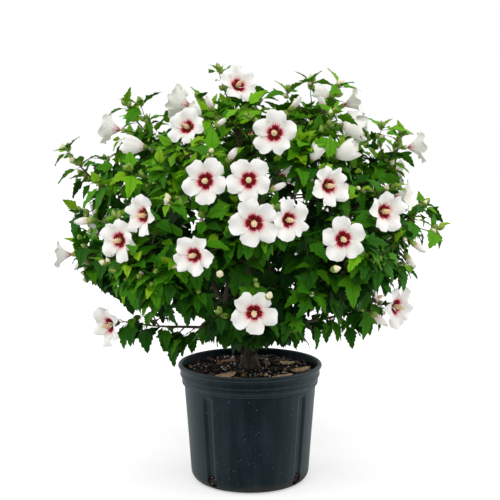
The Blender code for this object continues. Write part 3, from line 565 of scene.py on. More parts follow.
def new_tree(name, **wanted):
    """A tree whose inputs have names, kinds and first values, and the identifier of each."""
    tree = bpy.data.node_groups.new(name, "GeometryNodeTree")
    inputs = {}
    for label, (kind, *first) in wanted.items():
        label = label.replace("_", " ")
        socket = tree.interface.new_socket(label, in_out="INPUT", socket_type="NodeSocket" + kind)
        if first:
            socket.default_value = first[0]
        inputs[label] = socket.identifier
    tree.interface.new_socket("Geometry", in_out="OUTPUT", socket_type="NodeSocketGeometry")
    nodes = Nodes(tree)
    return nodes, nodes.add("NodeGroupInput"), inputs


def attribute(nodes, name, kind):
    return nodes.add("GeometryNodeInputNamedAttribute", {"data_type": kind}, {"Name": name})["Attribute"]


def close_tree(nodes, geometry, materials):
    """Realizes what is there, and gives each tint its material."""
    geometry = nodes.add("GeometryNodeRealizeInstances", None, {"Geometry": geometry})
    for number, material in enumerate(materials):
        settings = {"data_type": "INT", "operation": "EQUAL"}
        match = nodes.add("FunctionNodeCompare", settings, {2: attribute(nodes, "tint", "INT"), 3: number})
        sockets = {"Geometry": geometry, "Selection": match, "Material": material}
        geometry = nodes.add("GeometryNodeSetMaterial", None, sockets)
    nodes.add("NodeGroupOutput", None, {"Geometry": geometry})


def dealing_tree(name, materials, dealt):
    """Points in, a shape on each of them out. Where dealt, each shape draws its tint."""
    nodes, given, inputs = new_tree(name, Points=["Geometry"], Shapes=["Collection"], Size=["Float", 1.0],
                                    Size_Spread=["Float", 0.08], Seed=["Int", 1])
    settings = {"Collection": given["Shapes"], "Separate Children": True, "Reset Children": True}
    shapes = nodes.add("GeometryNodeCollectionInfo", None, settings)
    way, look, size, kind = [attribute(nodes, *pair) for pair in POINT_ATTRIBUTES.items()]
    axes = {"primary_axis": "Y", "secondary_axis": "Z"}
    turn = nodes.add("FunctionNodeAxesToRotation", axes, {0: way, 1: look})
    spread = given["Size Spread"]
    ends = {2: 1 - spread, 3: 1 + spread, "Seed": given["Seed"]}
    chance = nodes.add("FunctionNodeRandomValue", {"data_type": "FLOAT"}, ends, 1)
    sockets = {"Points": given["Points"], "Instance": shapes, "Pick Instance": True, "Rotation": turn,
               "Instance Index": kind, "Scale": size * given["Size"] * chance}
    geometry = nodes.add("GeometryNodeInstanceOnPoints", None, sockets)
    if dealt:
        ends = {4: 0, 5: len(materials) - 1, "Seed": given["Seed"] + TINT_DRAW}
        draw = nodes.add("FunctionNodeRandomValue", {"data_type": "INT"}, ends, 2)
        geometry = nodes.add("GeometryNodeStoreNamedAttribute", {"data_type": "INT", "domain": "INSTANCE"},
                             {"Geometry": geometry, "Name": "tint", "Value": draw})
    close_tree(nodes, geometry, materials)
    return nodes.tree, inputs


def grow(piece, tree, inputs, **values):
    """Runs a tree on a piece and keeps what it makes as the piece's own mesh."""
    run = piece.modifiers.new("grow", "NODES")
    run.node_group = tree
    for name, value in values.items():
        run[inputs[name.replace("_", " ")]] = value
    apply_modifiers(piece)
    for extra in (*POINT_ATTRIBUTES, "tint"):
        if extra in piece.data.attributes:
            piece.data.attributes.remove(piece.data.attributes[extra])
    return piece


def set_values(piece, name, kind, domain, values):
    """An attribute of a mesh, from a number or a vector for each point or face."""
    data = piece.data.attributes.new(name, kind, domain).data
    if kind == "FLOAT_VECTOR":
        data.foreach_set("vector", [c for v in values for c in v])
    else:
        data.foreach_set("value", values)


def shape_set(name, shapes):
    """A collection of shapes that are instanced, and aren't in the scene themselves."""
    kept = bpy.data.collections.new(name)
    for number, (points, faces, tints, marks) in enumerate(shapes):
        shape = new_object(f"{name}_{number:02d}", points, faces)
        bpy.context.scene.collection.objects.unlink(shape)
        kept.objects.link(shape)
        if any(tints):
            set_values(shape, "tint", "INT", "FACE", tints)
        if marks:
            pattern = shape.data.uv_layers.new(name="UVMap")
            for loop, corner in zip(shape.data.loops, pattern.data):
                corner.uv = marks[loop.vertex_index]
    return kept


def deal(name, places, shapes, materials, size_spread=0.0, dealt=True, seed=5):
    """A piece with a shape at each place, which is a point, a way, a look, a size and a kind."""
    points, *columns = zip(*places)
    piece = new_object(name, points, [])
    for (label, kind), values in zip(POINT_ATTRIBUTES.items(), columns):
        set_values(piece, label, kind, "POINT", values)
    tree, inputs = dealing_tree(f"{name}_tree", materials, dealt)
    kept = shape_set(f"{name}_shapes", shapes)
    grow(piece, tree, inputs, Shapes=kept, Size_Spread=size_spread, Seed=seed)
    for shape in list(kept.objects):
        bpy.data.objects.remove(shape)
    bpy.data.collections.remove(kept)
    return piece


print("the dealing tree is ready")

# %% [markdown]
# ## Potting mix
# The mix is dark, crumbly bark and peat. A turned disc gives its level and its rise to the trunk,
# and noise makes it lumpy. Its side goes down inside the wall, where it shows in the drain holes.

# %% Potting mix
SOIL_EDGE, SOIL_TOP, SOIL_RADIUS, SOIL_FLAT = 216.0, 221.5, 129.0, 24
SOIL_SIDES = 120
SIDE_TOP = 210  # below it the lumps swell inwards from the wall, above it they swell upwards
LUMP_SCALE, LUMP_RISE = 0.055, 2.6


def peat(nodes, place):
    lumps = nodes.noise(place, 160, 5)
    fibres = nodes.noise(nodes.stretched(place, (1, 0.3, 1)), 420, 3)
    colour = nodes.mix(lumps.above(0.5, 0.14), (0.002, 0.0015, 0.001), (0.011, 0.006, 0.004))
    colour = nodes.mix(fibres.above(0.62, 0.05) * 0.7, colour, (0.036, 0.018, 0.009))
    crumbs = relief(nodes, lumps + fibres, 0.0015)
    return {"Base Color": colour, "Roughness": lumps * 0.2 + 0.75, "Normal": crumbs}


def soil_height(radius):
    share = min(max((radius - SOIL_FLAT) / (SOIL_RADIUS - SOIL_FLAT), 0), 1)
    return SOIL_TOP - (SOIL_TOP - SOIL_EDGE) * share


def soil_profile():
    """Radius and height, up the inside of the pot and then over the top to the trunk."""
    foot = WALL_FOOT_RADIUS
    side = [(foot - CORNER - 2, 2.6), (foot - 11, 8), (foot - 4, 16), (foot - 2.4, 30)]
    side += [(WALL_TOP_RADIUS - 3.4, 180), (SOIL_RADIUS, 208)]
    return side + [(r, soil_height(r)) for r in (126, 121, 113, *range(104, 33, -10), 24, 16, 8)]


def soil_ring(radius, height):
    ring = []
    for turn in turns(SOIL_SIDES):
        inner = radius - flute_dip(turn, height) if height < WALL_TOP else radius
        place = round_axis(turn, inner, height)
        lump = noise.fractal(place * LUMP_SCALE, 0.7, 2.1, 4)
        if height > SIDE_TOP:
            place.z += lump * LUMP_RISE
        else:
            place -= Vector((place.x, place.y, 0)).normalized() * max(0.0, 1.2 * lump + 0.9)
        ring.append(place)
    return ring


skin = skin_over([soil_ring(radius, height) for radius, height in soil_profile()])
soil = new_object("potting_mix", *skin, [surface("peat", peat, Roughness=0.9)])
face_outwards(soil)
hand_over(soil, "potting_soil", "soil")

# %% [markdown]
# ## Crumbs, perlite and bark chips
# On the mix lie crumbs, white perlite and flakes of bark, a few of them large, fresh and pale.
# They are real shapes, strewn by a seeded chance and sunk a little. The square root in the radius
# keeps them as close together at the edge as in the middle. The large chips are listed one by one.

# %% Crumbs, perlite and bark chips
# name: how many, least and greatest size, the same behind the drain holes, how far it is sunk.
LOOSE = {"crumbs": (900, (1.2, 4.6), (2, 4.5), 0.1), "perlite": (180, (0.9, 2.5), (0.5, 1.0), 0.3),
         "bark_chips": (90, (4, 14), None, 0.05)}
IN_DRAIN = 7  # pieces behind a drain hole
# The large chips: place, turn and length.
BIG_CHIPS = [((-48, -84, 222), 62, 44), ((60, -90, 221.5), 76, 36), ((96, -30, 221.5), 70, 38),
             ((74, 26, 222), 130, 34), ((-30, -112, 218), 80, 20), ((30, -70, 221), 10, 18)]
BIG_CHIP_LOOK = Vector((0.1, -0.8, 1))
CRUMB_COLOURS = {"dark": (0.005, 0.003, 0.002), "brown": (0.010, 0.005, 0.003), "rust": (0.034, 0.014, 0.006)}
CRUMB_ROUGH = {"rust": 0.9}
CHIP_COLOURS = {"rust": ((0.070, 0.024, 0.010), (0.20, 0.075, 0.030)),
                "tan": ((0.20, 0.10, 0.045), (0.42, 0.25, 0.12)),
                "brown": ((0.014, 0.007, 0.004), (0.050, 0.024, 0.012)),
                "fresh": ((0.55, 0.25, 0.10), (1.0, 0.80, 0.48))}


def chip_wood(dark, light):
    def build(nodes, place):
        grain = nodes.noise(nodes.stretched(place, (1, 0.25, 1)), 500, 4)
        colour = nodes.mix(grain.above(0.5, 0.18), dark, light)
        return {"Base Color": colour, "Normal": relief(nodes, grain, 0.0006)}
    return build


def chalky(nodes, place):
    return {"Normal": relief(nodes, nodes.noise(place, 1500, 2), 0.0004)}


def pebble(seed, stretch, rough, sides, rows):
    """A small closed lump. Stretch is its half sizes, rough how uneven it is."""
    rings = []
    for r in range(rows):
        tilt = pi * (r + 0.5) / rows - pi / 2
        ring = []
        for turn in turns(sides):
            way = Vector((cos(turn) * cos(tilt), sin(turn) * cos(tilt), sin(tilt)))
            length = 1 + rough * noise.noise(way * 1.7 + Vector((seed, 0, 0)))
            ring.append(Vector([w * s for w, s in zip(way * length, stretch)]))
        rings.append(ring)
    return (*skin_over(rings), [], [])


def bark_chip(seed):
    """A split flake of bark, long in Y, with ragged ends and one lifted side."""
    chance = random.Random(f"chip {seed}")
    rings = []
    for i in range(7):
        y = -1 + i / 3
        wide = 0.36 * (1 - 0.75 * abs(y) ** 3) * chance.uniform(0.8, 1.15)
        lift = 0.10 * y * y + chance.uniform(-0.03, 0.03)
        shift = chance.uniform(-0.06, 0.06)
        corners = ((-wide, 0), (wide * 0.9, 0.08), (wide * 0.7, 0.2), (-wide * 0.8, 0.13))
        rings.append([(shift + x, y, lift + z) for x, z in corners])
    return (*skin_over(rings), [], [])


def strewn(chance, count, low, high, kinds, sunk):
    """Places strewn evenly over the soil, clear of the trunk, where a shape lies nearly flat."""
    places = []
    for _ in range(count):
        radius = SOIL_RADIUS * math.sqrt(chance.uniform(0.03, 0.95))
        turn = chance.uniform(0, 2 * pi)
        size = chance.uniform(low, high)
        spin = chance.uniform(0, 2 * pi)
        way = Vector((cos(spin), sin(spin), chance.uniform(-0.25, 0.35))).normalized()
        look = Vector((chance.uniform(-0.4, 0.4), chance.uniform(-0.4, 0.4), 1))
        place = round_axis(turn, radius, soil_height(radius) + size * sunk + 0.8)
        places.append((place, way, look, size, chance.randrange(kinds)))
    return places


def in_drains(chance, low, high, kinds):
    """A few places on the mix behind each drain hole."""
    places = []
    for turn in FLUTE_TURNS:
        out = round_axis(turn)
        for _ in range(IN_DRAIN):
            off, height = chance.uniform(-8, 8), DRAIN_HEIGHT + chance.uniform(-7, 9)
            place = out * (WALL_FOOT_RADIUS - 9 + height * 0.18) + out.cross(UP) * off + UP * height
            places.append((place, UP.cross(out), out, chance.uniform(low, high), chance.randrange(kinds)))
    return places


def big_chip_places():
    for place, turn, length in BIG_CHIPS:
        turn = radians(turn)
        yield Vector(place), Vector((sin(turn), cos(turn), 0.08)), BIG_CHIP_LOOK, length / 2, 1


crumb_woods = [surface(f"crumb_{name}", Base_Color=colour, Roughness=CRUMB_ROUGH.get(name, 0.95))
               for name, colour in CRUMB_COLOURS.items()]
perlite_white = surface("perlite", chalky, Base_Color=(0.92, 0.91, 0.87), Roughness=0.85)
perlite_grey = surface("perlite_dusty", Base_Color=(0.42, 0.40, 0.37), Roughness=0.9)
rust, tan, brown, fresh = [surface(f"chip_{name}", chip_wood(*ends)) for name, ends in CHIP_COLOURS.items()]
flakes = [bark_chip(i) for i in range(6)]
loose_looks = {
    "crumbs": ([pebble(i, (0.7, 1.2, 0.5), 0.7, 6, 3) for i in range(5)], crumb_woods),
    "perlite": ([pebble(i + 20, (1, 1, 0.8), 0.5, 7, 4) for i in range(4)],
                [perlite_white, perlite_grey, perlite_white]),
    "bark_chips": (flakes, [rust, tan, brown, brown]),
}
luck = random.Random("potting mix")
for name, (count, sizes, drain_sizes, sunk) in LOOSE.items():
    shapes, woods = loose_looks[name]
    places = strewn(luck, count, *sizes, len(shapes), sunk)
    if drain_sizes:
        places += in_drains(luck, *drain_sizes, len(shapes))
    hand_over(deal(name, places, shapes, woods, 0.1), "potting_soil")
hand_over(deal("big_chips", big_chip_places(), flakes, [fresh], 0.1), "potting_soil")


# %% [markdown]
# ## Lines that limbs follow
# A shrub is drawn with lines before it gets any wood: a limb is a smooth curve from its parent to
# its tip. These functions bend such a line, walk along it, and carry a side direction down it that
# doesn't spin, so that a skin round the line doesn't twist.

# %% Lines that limbs follow
BEND_REACH = 0.38  # how far a bend's guide points stand off its ends, as a share of the gap


def square_to(side, way):
    return (side - way * side.dot(way)).normalized()


def perpendicular(way):
    guide = UP if abs(way.z) < 0.9 else Vector((1, 0, 0))
    return way.cross(guide).normalized()


def bend(start, start_way, end, end_way, steps):
    """A smooth line from start to end that leaves and arrives in the given ways."""
    reach = (end - start).length * BEND_REACH
    a, b = start + start_way.normalized() * reach, end - end_way.normalized() * reach
    line = []
    for i in range(steps + 1):
        t = i / steps
        near, far = start.lerp(a, t), b.lerp(end, t)
        middle = a.lerp(b, t)
        line.append(near.lerp(middle, t).lerp(middle.lerp(far, t), t))
    return line


def frames(line):
    """At each point of a line, its way there and a side that doesn't turn about it."""
    last = len(line) - 1
    found, side = [], None
    for i in range(last + 1):
        way = (line[min(i + 1, last)] - line[max(i - 1, 0)]).normalized()
        side = square_to(side, way) if side else perpendicular(way)
        found.append((way, side))
    return found


def line_length(line):
    return sum((b - a).length for a, b in zip(line, line[1:]))


def along(line, share):
    """The place at a share of the line's length, with the way and the side of the line there."""
    left = line_length(line) * share
    sides = [side for _, side in frames(line)]
    for a, b, side in zip(line, line[1:], sides):
        step = (b - a).length
        if left <= step or b is line[-1]:
            way = (b - a).normalized()
            return a.lerp(b, min(left / step, 1.0)), way, square_to(side, way)
        left -= step


def leaning(way, side, spin, lean):
    """A way that leaves a line at an angle, on the side that the spin gives."""
    return way * cos(lean) + (Matrix.Rotation(spin, 3, way) @ side) * sin(lean)


print("a level line of 3 mm:", line_length([Vector((0, 0, 0)), Vector((3, 0, 0))]))

# %% [markdown]
# ## Trunk, stems and boughs
# Rose-of-Sharon grows as a vase: a short trunk, stems that leave it in all directions and climb,
# and boughs that leave the stems. The lists say where each one starts and ends, and everything
# between is worked out. The lines are those of the solids, with more points on each.

# %% Trunk, stems and boughs
TRUNK_FOOT = SOIL_TOP + 0.3
TRUNK_LEAN = Vector((-3, 3, 0))
TRUNK_HEIGHTS, TRUNK_RADII = (0, 9, 24, 45, 68), (21.0, 17.0, 14.5, 13.0, 11.5)
STEM_START_OUT, STEM_START_UP = 0.72, 0.70
BOUGH_START = 0.6
LIMB_STEPS = 28

# name: height above the soil, foot and tip radius, tip, end of the leader.
STEMS = {
    "centre": (68, 9.5, 4.2, (-14, 6, 590), (-36, 0, 754)),
    "left": (18, 7.5, 4.0, (-200, -12, 400), (-325, -6, 448)),
    "right": (34, 7.5, 4.0, (208, -8, 430), (326, -12, 535)),
    "front_left": (40, 7.0, 3.8, (-112, -145, 405), (-200, -228, 478)),
    "front_right": (20, 7.0, 3.8, (105, -150, 400), (195, -232, 480)),
    "back_left": (32, 7.0, 3.8, (-115, 145, 410), (-200, 228, 490)),
    "back_right": (50, 7.0, 3.8, (118, 140, 415), (205, 225, 500)),
}

# name: stem, share of it, foot and tip radius, tip, end of the leader.
BOUGHS = {
    "low_left": ("left", 0.30, 4.6, 3.2, (-84, -38, 306), (-236, -32, 316)),
    "high_left": ("left", 0.60, 4.8, 3.2, (-215, 20, 510), (-325, 8, 610)),
    "upper_left": ("centre", 0.20, 5.0, 3.4, (-108, 35, 582), (-222, 14, 702)),
    "upper_right": ("centre", 0.52, 4.8, 3.2, (68, 38, 622), (138, 22, 734)),
    "high_right": ("right", 0.55, 4.8, 3.2, (200, 32, 520), (278, 10, 642)),
    "low_right": ("right", 0.32, 4.6, 3.2, (98, -42, 316), (240, -38, 350)),
    "low_front": ("front_right", 0.30, 4.4, 3.0, (16, -98, 345), (4, -236, 384)),
    "middle_front": ("front_left", 0.42, 4.6, 3.2, (-32, -160, 440), (-6, -262, 535)),
    "high_front_left": ("centre", 0.36, 4.8, 3.2, (-80, -96, 530), (-112, -188, 640)),
    "high_front_right": ("centre", 0.44, 4.8, 3.2, (74, -90, 550), (102, -182, 655)),
    "low_back": ("back_left", 0.30, 4.4, 3.0, (-18, 98, 345), (-10, 234, 384)),
    "middle_back": ("back_right", 0.42, 4.6, 3.2, (30, 160, 440), (8, 262, 540)),
    "high_back": ("centre", 0.42, 4.8, 3.2, (4, 98, 565), (18, 184, 665)),
}


class Limb:
    """A line, its radius at both ends, and where the leader that carries it on ends."""

    def __init__(self, line, foot_radius, tip_radius, leader_tip=None):
        self.line, self.foot_radius, self.tip_radius = line, foot_radius, tip_radius
        self.leader_tip = leader_tip

    def end_way(self):
        return (self.line[-1] - self.line[-2]).normalized()


def plan_trunk():
    upright, top = TRUNK_HEIGHTS[1], TRUNK_HEIGHTS[-1]
    line = []
    for height in TRUNK_HEIGHTS:
        lean = TRUNK_LEAN * (max(0.0, height - upright) / (top - upright))
        line.append(Vector((0, 0, TRUNK_FOOT + height)) + lean)
    return Limb(line, TRUNK_RADII[0], TRUNK_RADII[-1])


def plan_limb(start, start_way, foot_radius, tip_radius, tip, leader_tip):
    tip, leader_tip = Vector(tip), Vector(leader_tip)
    line = bend(start, start_way, tip, leader_tip - tip, LIMB_STEPS)
    return Limb(line, foot_radius, tip_radius, leader_tip)


def plan_limbs(trunk):
    """Stems leave the trunk outwards and upwards, boughs leave a stem between its way and theirs."""
    limbs = {}
    for name, (height, *rest) in STEMS.items():
        start, start_way, _ = along(trunk.line, height / TRUNK_HEIGHTS[-1])
        if name != "centre":
            x, y, _ = rest[2]
            start_way = Vector((x, y, 0)).normalized() * STEM_START_OUT + UP * STEM_START_UP
        limbs[name] = plan_limb(start, start_way, *rest)
    for name, (stem, share, *rest) in BOUGHS.items():
        start, way, _ = along(limbs[stem].line, share)
        start_way = way * BOUGH_START + (Vector(rest[2]) - start).normalized()
        limbs[name] = plan_limb(start, start_way, *rest)
    return limbs


trunk = plan_trunk()
limbs = plan_limbs(trunk)
print(f"planned a trunk and {len(limbs)} limbs")

# %% [markdown]
# ## Bark
# Young bark is smooth and grey-green, old bark is grey-brown and splits lengthwise, so the colour
# goes with height and the furrows with thickness. The furrows are real: each limb's
# skin has a ring every few millimetres, and a noise that is stretched along the limb pulls its
# points in and out. Swollen rings are the scars of old leaves, and each foot widens as a collar,
# which hides the seam with its parent. The trunk's foot spreads between five low ridges.

# %% Bark
RING_STEP = 3.0
FURROW_DEPTH = 0.075  # as a share of the limb's radius
FURROW_ROUND, FURROW_ALONG = 2.2, 0.035  # how fast the furrows change round a limb and along it
TRUNK_ROUND, TRUNK_ALONG = 3.2, 0.045
COLLAR, COLLAR_LENGTH = 0.35, 16
SCAR_SPACING, SCAR_HEIGHT, SCAR_HALF = 27.0, 0.13, 3.2
STEM_RADIUS, STEM_SIDES, BOUGH_SIDES = 6, 16, 12  # limbs thicker than this radius are stems
TRUNK_SUNK, TRUNK_STEP, TRUNK_RINGS, TRUNK_SIDES = 3, 1.8, 40, 44
RIDGES, RIDGE_HEIGHT, RIDGE_TOP = 5, 0.16, 26
BARK_OLD, BARK_GREY, BARK_YOUNG = (0.014, 0.008, 0.004), (0.060, 0.040, 0.022), (0.095, 0.105, 0.045)
BARK_PATCH = (0.10, 0.075, 0.050)


def bark(nodes, place):
    grain = nodes.noise(nodes.stretched(place, (1, 1, 0.22)), 420, 5, 0.65)
    patches = nodes.noise(place, 38, 4)
    youth = (nodes.height(place) + patches * 0.14 - 0.07).above(0.42, 0.16)
    colour = nodes.mix(grain.above(0.5, 0.2), BARK_OLD, BARK_GREY)
    colour = nodes.mix(patches.above(0.58, 0.06) * 0.35, colour, BARK_PATCH)
    colour = nodes.mix(youth * 0.8, colour, BARK_YOUNG)
    return {"Base Color": colour, "Roughness": grain * 0.25 + 0.62, "Normal": relief(nodes, grain, 0.0012)}


def tube(line, radii, sides):
    """Rings round a line, with a radius for each point."""
    rings = []
    for (way, side), point, radius in zip(frames(line), line, radii):
        other = way.cross(side)
        rings.append([point + (side * cos(t) + other * sin(t)) * radius for t in turns(sides)])
    return rings


def furrowed(rings, line, seed):
    """Pushes the points of the rings in and out, by a noise that is long along the limb."""
    run = 0.0
    for r, (ring, middle) in enumerate(zip(rings, line)):
        run += (line[r] - line[r - 1]).length if r else 0.0
        for s, turn in enumerate(turns(len(ring))):
            x, y = cos(turn) * FURROW_ROUND, sin(turn) * FURROW_ROUND
            furrow = noise.fractal(Vector((x, y, run * FURROW_ALONG + seed * 9)), 0.6, 2.2, 4)
            ring[s] = middle + (ring[s] - middle) * (1 + FURROW_DEPTH * furrow)
    return rings


def limb_skin(limb, seed):
    length = line_length(limb.line)
    count = max(3, round(length / RING_STEP))
    line = [along(limb.line, i / count)[0] for i in range(count + 1)]
    length = line_length(line)
    radii = []
    for i in range(count + 1):
        run = length * i / count
        radius = taper(limb.foot_radius, limb.tip_radius, i / count)
        collar = COLLAR * max(0.0, 1 - run / COLLAR_LENGTH) ** 2
        scar = SCAR_HEIGHT * max(0.0, 1 - abs(run % SCAR_SPACING - SCAR_SPACING / 2) / SCAR_HALF)
        radii.append(radius * (1 + collar) + scar * limb.tip_radius)
    sides = STEM_SIDES if limb.foot_radius > STEM_RADIUS else BOUGH_SIDES
    return furrowed(tube(line, radii, sides), line, seed)


def trunk_radius(height):
    for low, high, first, last in zip(TRUNK_HEIGHTS, TRUNK_HEIGHTS[1:], TRUNK_RADII, TRUNK_RADII[1:]):
        if height <= high:
            return taper(first, last, (height - low) / (high - low))
    return TRUNK_RADII[-1]


def trunk_ring(height):
    above = max(0.0, height)
    place = along(trunk.line, above / TRUNK_HEIGHTS[-1])[0] + UP * min(0.0, height)
    ring = []
    for turn in turns(TRUNK_SIDES):
        ridge = RIDGE_HEIGHT * cos(RIDGES * turn + 0.6) * max(0.0, 1 - height / RIDGE_TOP) ** 2
        spot = Vector((cos(turn) * TRUNK_ROUND, sin(turn) * TRUNK_ROUND, height * TRUNK_ALONG))
        furrow = FURROW_DEPTH * noise.fractal(spot, 0.6, 2.2, 5)
        ring.append(place + round_axis(turn) * trunk_radius(above) * (1 + ridge + furrow))
    return ring


wood_skin = Shape()
wood_skin.add_skin([trunk_ring(i * TRUNK_STEP - TRUNK_SUNK) for i in range(TRUNK_RINGS)])
for seed, limb in enumerate(limbs.values()):
    wood_skin.add_skin(limb_skin(limb, seed))
wood = new_object("wood", wood_skin.points, wood_skin.faces, [surface("bark", bark)])
face_outwards(wood)
solids = ["trunk"] + [f"stem_{n}" for n in STEMS] + [f"bough_{n}" for n in BOUGHS]
hand_over(wood, "bark", *solids)

# %% [markdown]
# ## Blooms and where they sit
# The blooms of the front are listed one by one, because they are what one recognises. Each has the
# middle of its throat, its width and the way that it faces. Half-open ones are goblets, and furled
# ones are spires. On the far side the golden angle spreads them evenly up the crown, without rows.

# %% Blooms and where they sit
CROWN_MIDDLE = Vector((0, 0, 500))
CROWN_ACROSS, CROWN_DEEP, CROWN_UP, CROWN_DOWN, CROWN_POWER = 340.0, 310.0, 268.0, 250.0, 2.6

# name: throat, width, turn to the right of the front, tilt up, kind of bloom.
OPEN_BLOOMS = {
    "crown_tip": ((-20, -28, 766), 74, 22, 28, "cup"),
    "upper_middle": ((42, -212, 682), 80, -8, 10, "wide"),
    "upper_left": ((-114, -150, 692), 70, -24, 20, "cup"),
    "upper_left_rear": ((-142, 22, 734), 70, -124, 16, "trumpet"),
    "left_shoulder": ((-274, -6, 684), 66, -104, 8, "trumpet"),
    "left_of_middle": ((-76, -274, 604), 80, -8, 5, "wide"),
    "middle": ((-2, -282, 606), 78, -2, 9, "wide"),
    "right_of_middle": ((138, -256, 594), 76, 30, 4, "cup"),
    "heart": ((7, -308, 536), 84, 0, -4, "wide"),
    "heart_right": ((68, -298, 540), 74, 26, 2, "cup"),
    "right": ((158, -275, 505), 78, 6, 0, "wide"),
    "far_right": ((240, -205, 545), 80, 36, 4, "cup"),
    "far_right_rear": ((292, -110, 566), 60, 70, 8, "trumpet"),
    "left": ((-188, -250, 543), 74, -42, 2, "cup"),
    "far_left": ((-228, -226, 497), 76, -32, -2, "wide"),
    "low_left_of_middle": ((-96, -296, 480), 74, -26, 0, "wide"),
    "low_middle": ((7, -276, 378), 80, 0, -5, "wide"),
    "left_skirt": ((-274, -34, 308), 82, -46, -6, "cup"),
    "right_skirt": ((282, -42, 346), 82, 46, -2, "cup"),
    "left_tip": ((-370, -8, 442), 58, -90, 0, "trumpet"),
    "right_shoulder": ((328, 6, 648), 62, 98, 4, "trumpet"),
    "top_right_side": ((208, 4, 736), 64, 84, 20, "trumpet"),
}

# The same with the place of the calyx and the length.
HALF_OPEN = {
    "left_goblet": ((-184, -120, 652), 44, -96, 8, "goblet"),
    "left_hanging": ((-306, -20, 440), 36, -84, -42, "spire"),
    "right_goblet": ((146, -170, 636), 46, 72, 24, "goblet"),
    "upper_right_goblet": ((162, -96, 692), 44, 84, -14, "goblet"),
    "top_right_spire": ((140, -36, 716), 36, -48, 62, "spire"),
    "top_spire": ((-40, -240, 632), 36, 42, 46, "spire"),
    "middle_spire": ((32, -272, 586), 32, 70, 26, "spire"),
    "left_spire": ((-276, -148, 524), 40, -98, -6, "spire"),
    "right_skirt_spire": ((218, -138, 356), 40, 72, -38, "spire"),
    "right_lower_spire": ((288, -140, 486), 34, 78, -36, "spire"),
    "right_lower_second": ((280, -130, 462), 32, 70, -50, "spire"),
    "inner_right_goblet": ((106, -196, 630), 32, 80, 62, "goblet"),
    "top_right_goblet": ((152, -40, 742), 34, -92, 22, "goblet"),
    "top_inner_spire": ((72, -76, 716), 34, 62, 48, "spire"),
    "upper_left_goblet": ((-88, -70, 704), 32, -62, 44, "goblet"),
    "upper_left_withered": ((-62, -160, 690), 28, 60, 34, "spire"),
    "crown_left_spire": ((-66, -92, 716), 34, -36, 52, "spire"),
}
FAR_BLOOMS, FAR_FURLED, FAR_LOW, FAR_HIGH = 20, 4, 335.0, 705.0
FAR_MIDDLE, FAR_SPREAD = radians(180), radians(72)
FAR_WIDTHS, FAR_LENGTHS, FAR_ASIDE, FAR_TILTS = (68, 80), (30, 42), (-24, 24), (-6, 26)
CALYX_BACK = {"wide": 0.62, "cup": 0.80, "trumpet": 1.38}  # calyx behind the throat, in radii
TRUMPET_BACK = -0.3  # a trumpet's middle lies behind its rim, in radii


class Bloom:
    def __init__(self, name, place, size, way, kind):
        self.name, self.place, self.size, self.way, self.kind = name, place, size, way, kind
        self.open_wide = kind in CALYX_BACK
        self.far = name.startswith("far")

    def body(self):
        """How far its middle is ahead of its place."""
        if self.kind == "trumpet":
            return TRUMPET_BACK * self.size / 2
        return 0.0 if self.open_wide else self.size / 2

    def stalk_end(self):
        return self.place - self.way * (self.size / 2 * CALYX_BACK.get(self.kind, 0))


def crown_share(place):
    """Below 1 inside the crown's rounded box, 1 on it."""
    off = place - CROWN_MIDDLE
    halves = (CROWN_ACROSS, CROWN_DEEP, CROWN_UP if off.z > 0 else CROWN_DOWN)
    return sum(abs(o / h) ** CROWN_POWER for o, h in zip(off, halves)) ** (1 / CROWN_POWER)


def on_crown(turn, height, share=1.0):
    """The place on the crown, or at a share of the way out, at a turn from the front and a height."""
    rise = height - CROWN_MIDDLE.z
    ring = math.sqrt(1 - (rise / (CROWN_UP if rise > 0 else CROWN_DOWN)) ** 2) * share
    return Vector((sin(turn) * CROWN_ACROSS * ring, -cos(turn) * CROWN_DEEP * ring, height))


def spread_turn(middle, spread, number):
    """The turn of one of a row: golden steps to and fro over the spread."""
    return middle + spread * (2 * (number % 1) - 1)


def far_bloom(number):
    chance = random.Random(f"far bloom {number}")
    height = FAR_LOW + (FAR_HIGH - FAR_LOW) * (number + 0.5) / FAR_BLOOMS
    turn = spread_turn(FAR_MIDDLE, FAR_SPREAD, number * GOLDEN_SHARE)
    way = facing(math.degrees(turn) + chance.uniform(*FAR_ASIDE), chance.uniform(*FAR_TILTS))
    furled = number % FAR_FURLED == FAR_FURLED - 1
    size = chance.uniform(*(FAR_LENGTHS if furled else FAR_WIDTHS))
    kind = "goblet" if furled else ("wide", "cup", "cup")[number % 3]
    return Bloom(f"far_{number}", on_crown(turn, height), size, way, kind)


blooms = [Bloom(name, Vector(place), size, facing(turn, tilt), kind)
          for name, (place, size, turn, tilt, kind) in (OPEN_BLOOMS | HALF_OPEN).items()]
blooms += [far_bloom(i) for i in range(FAR_BLOOMS)]
print(f"{len(blooms)} blooms, {sum(b.open_wide for b in blooms)} of them open")

# %% [markdown]
# ## Growth of the shoots
# Each limb runs on as a leader into its own mass of foliage. The crown is dense and dark below and
# opens up towards its top, so there are fewer and steeper shoots the higher a mass sits. Two low
# boughs bear a single thin spray each. A twig may fill the space of its own mass, and must hide
# no bloom.

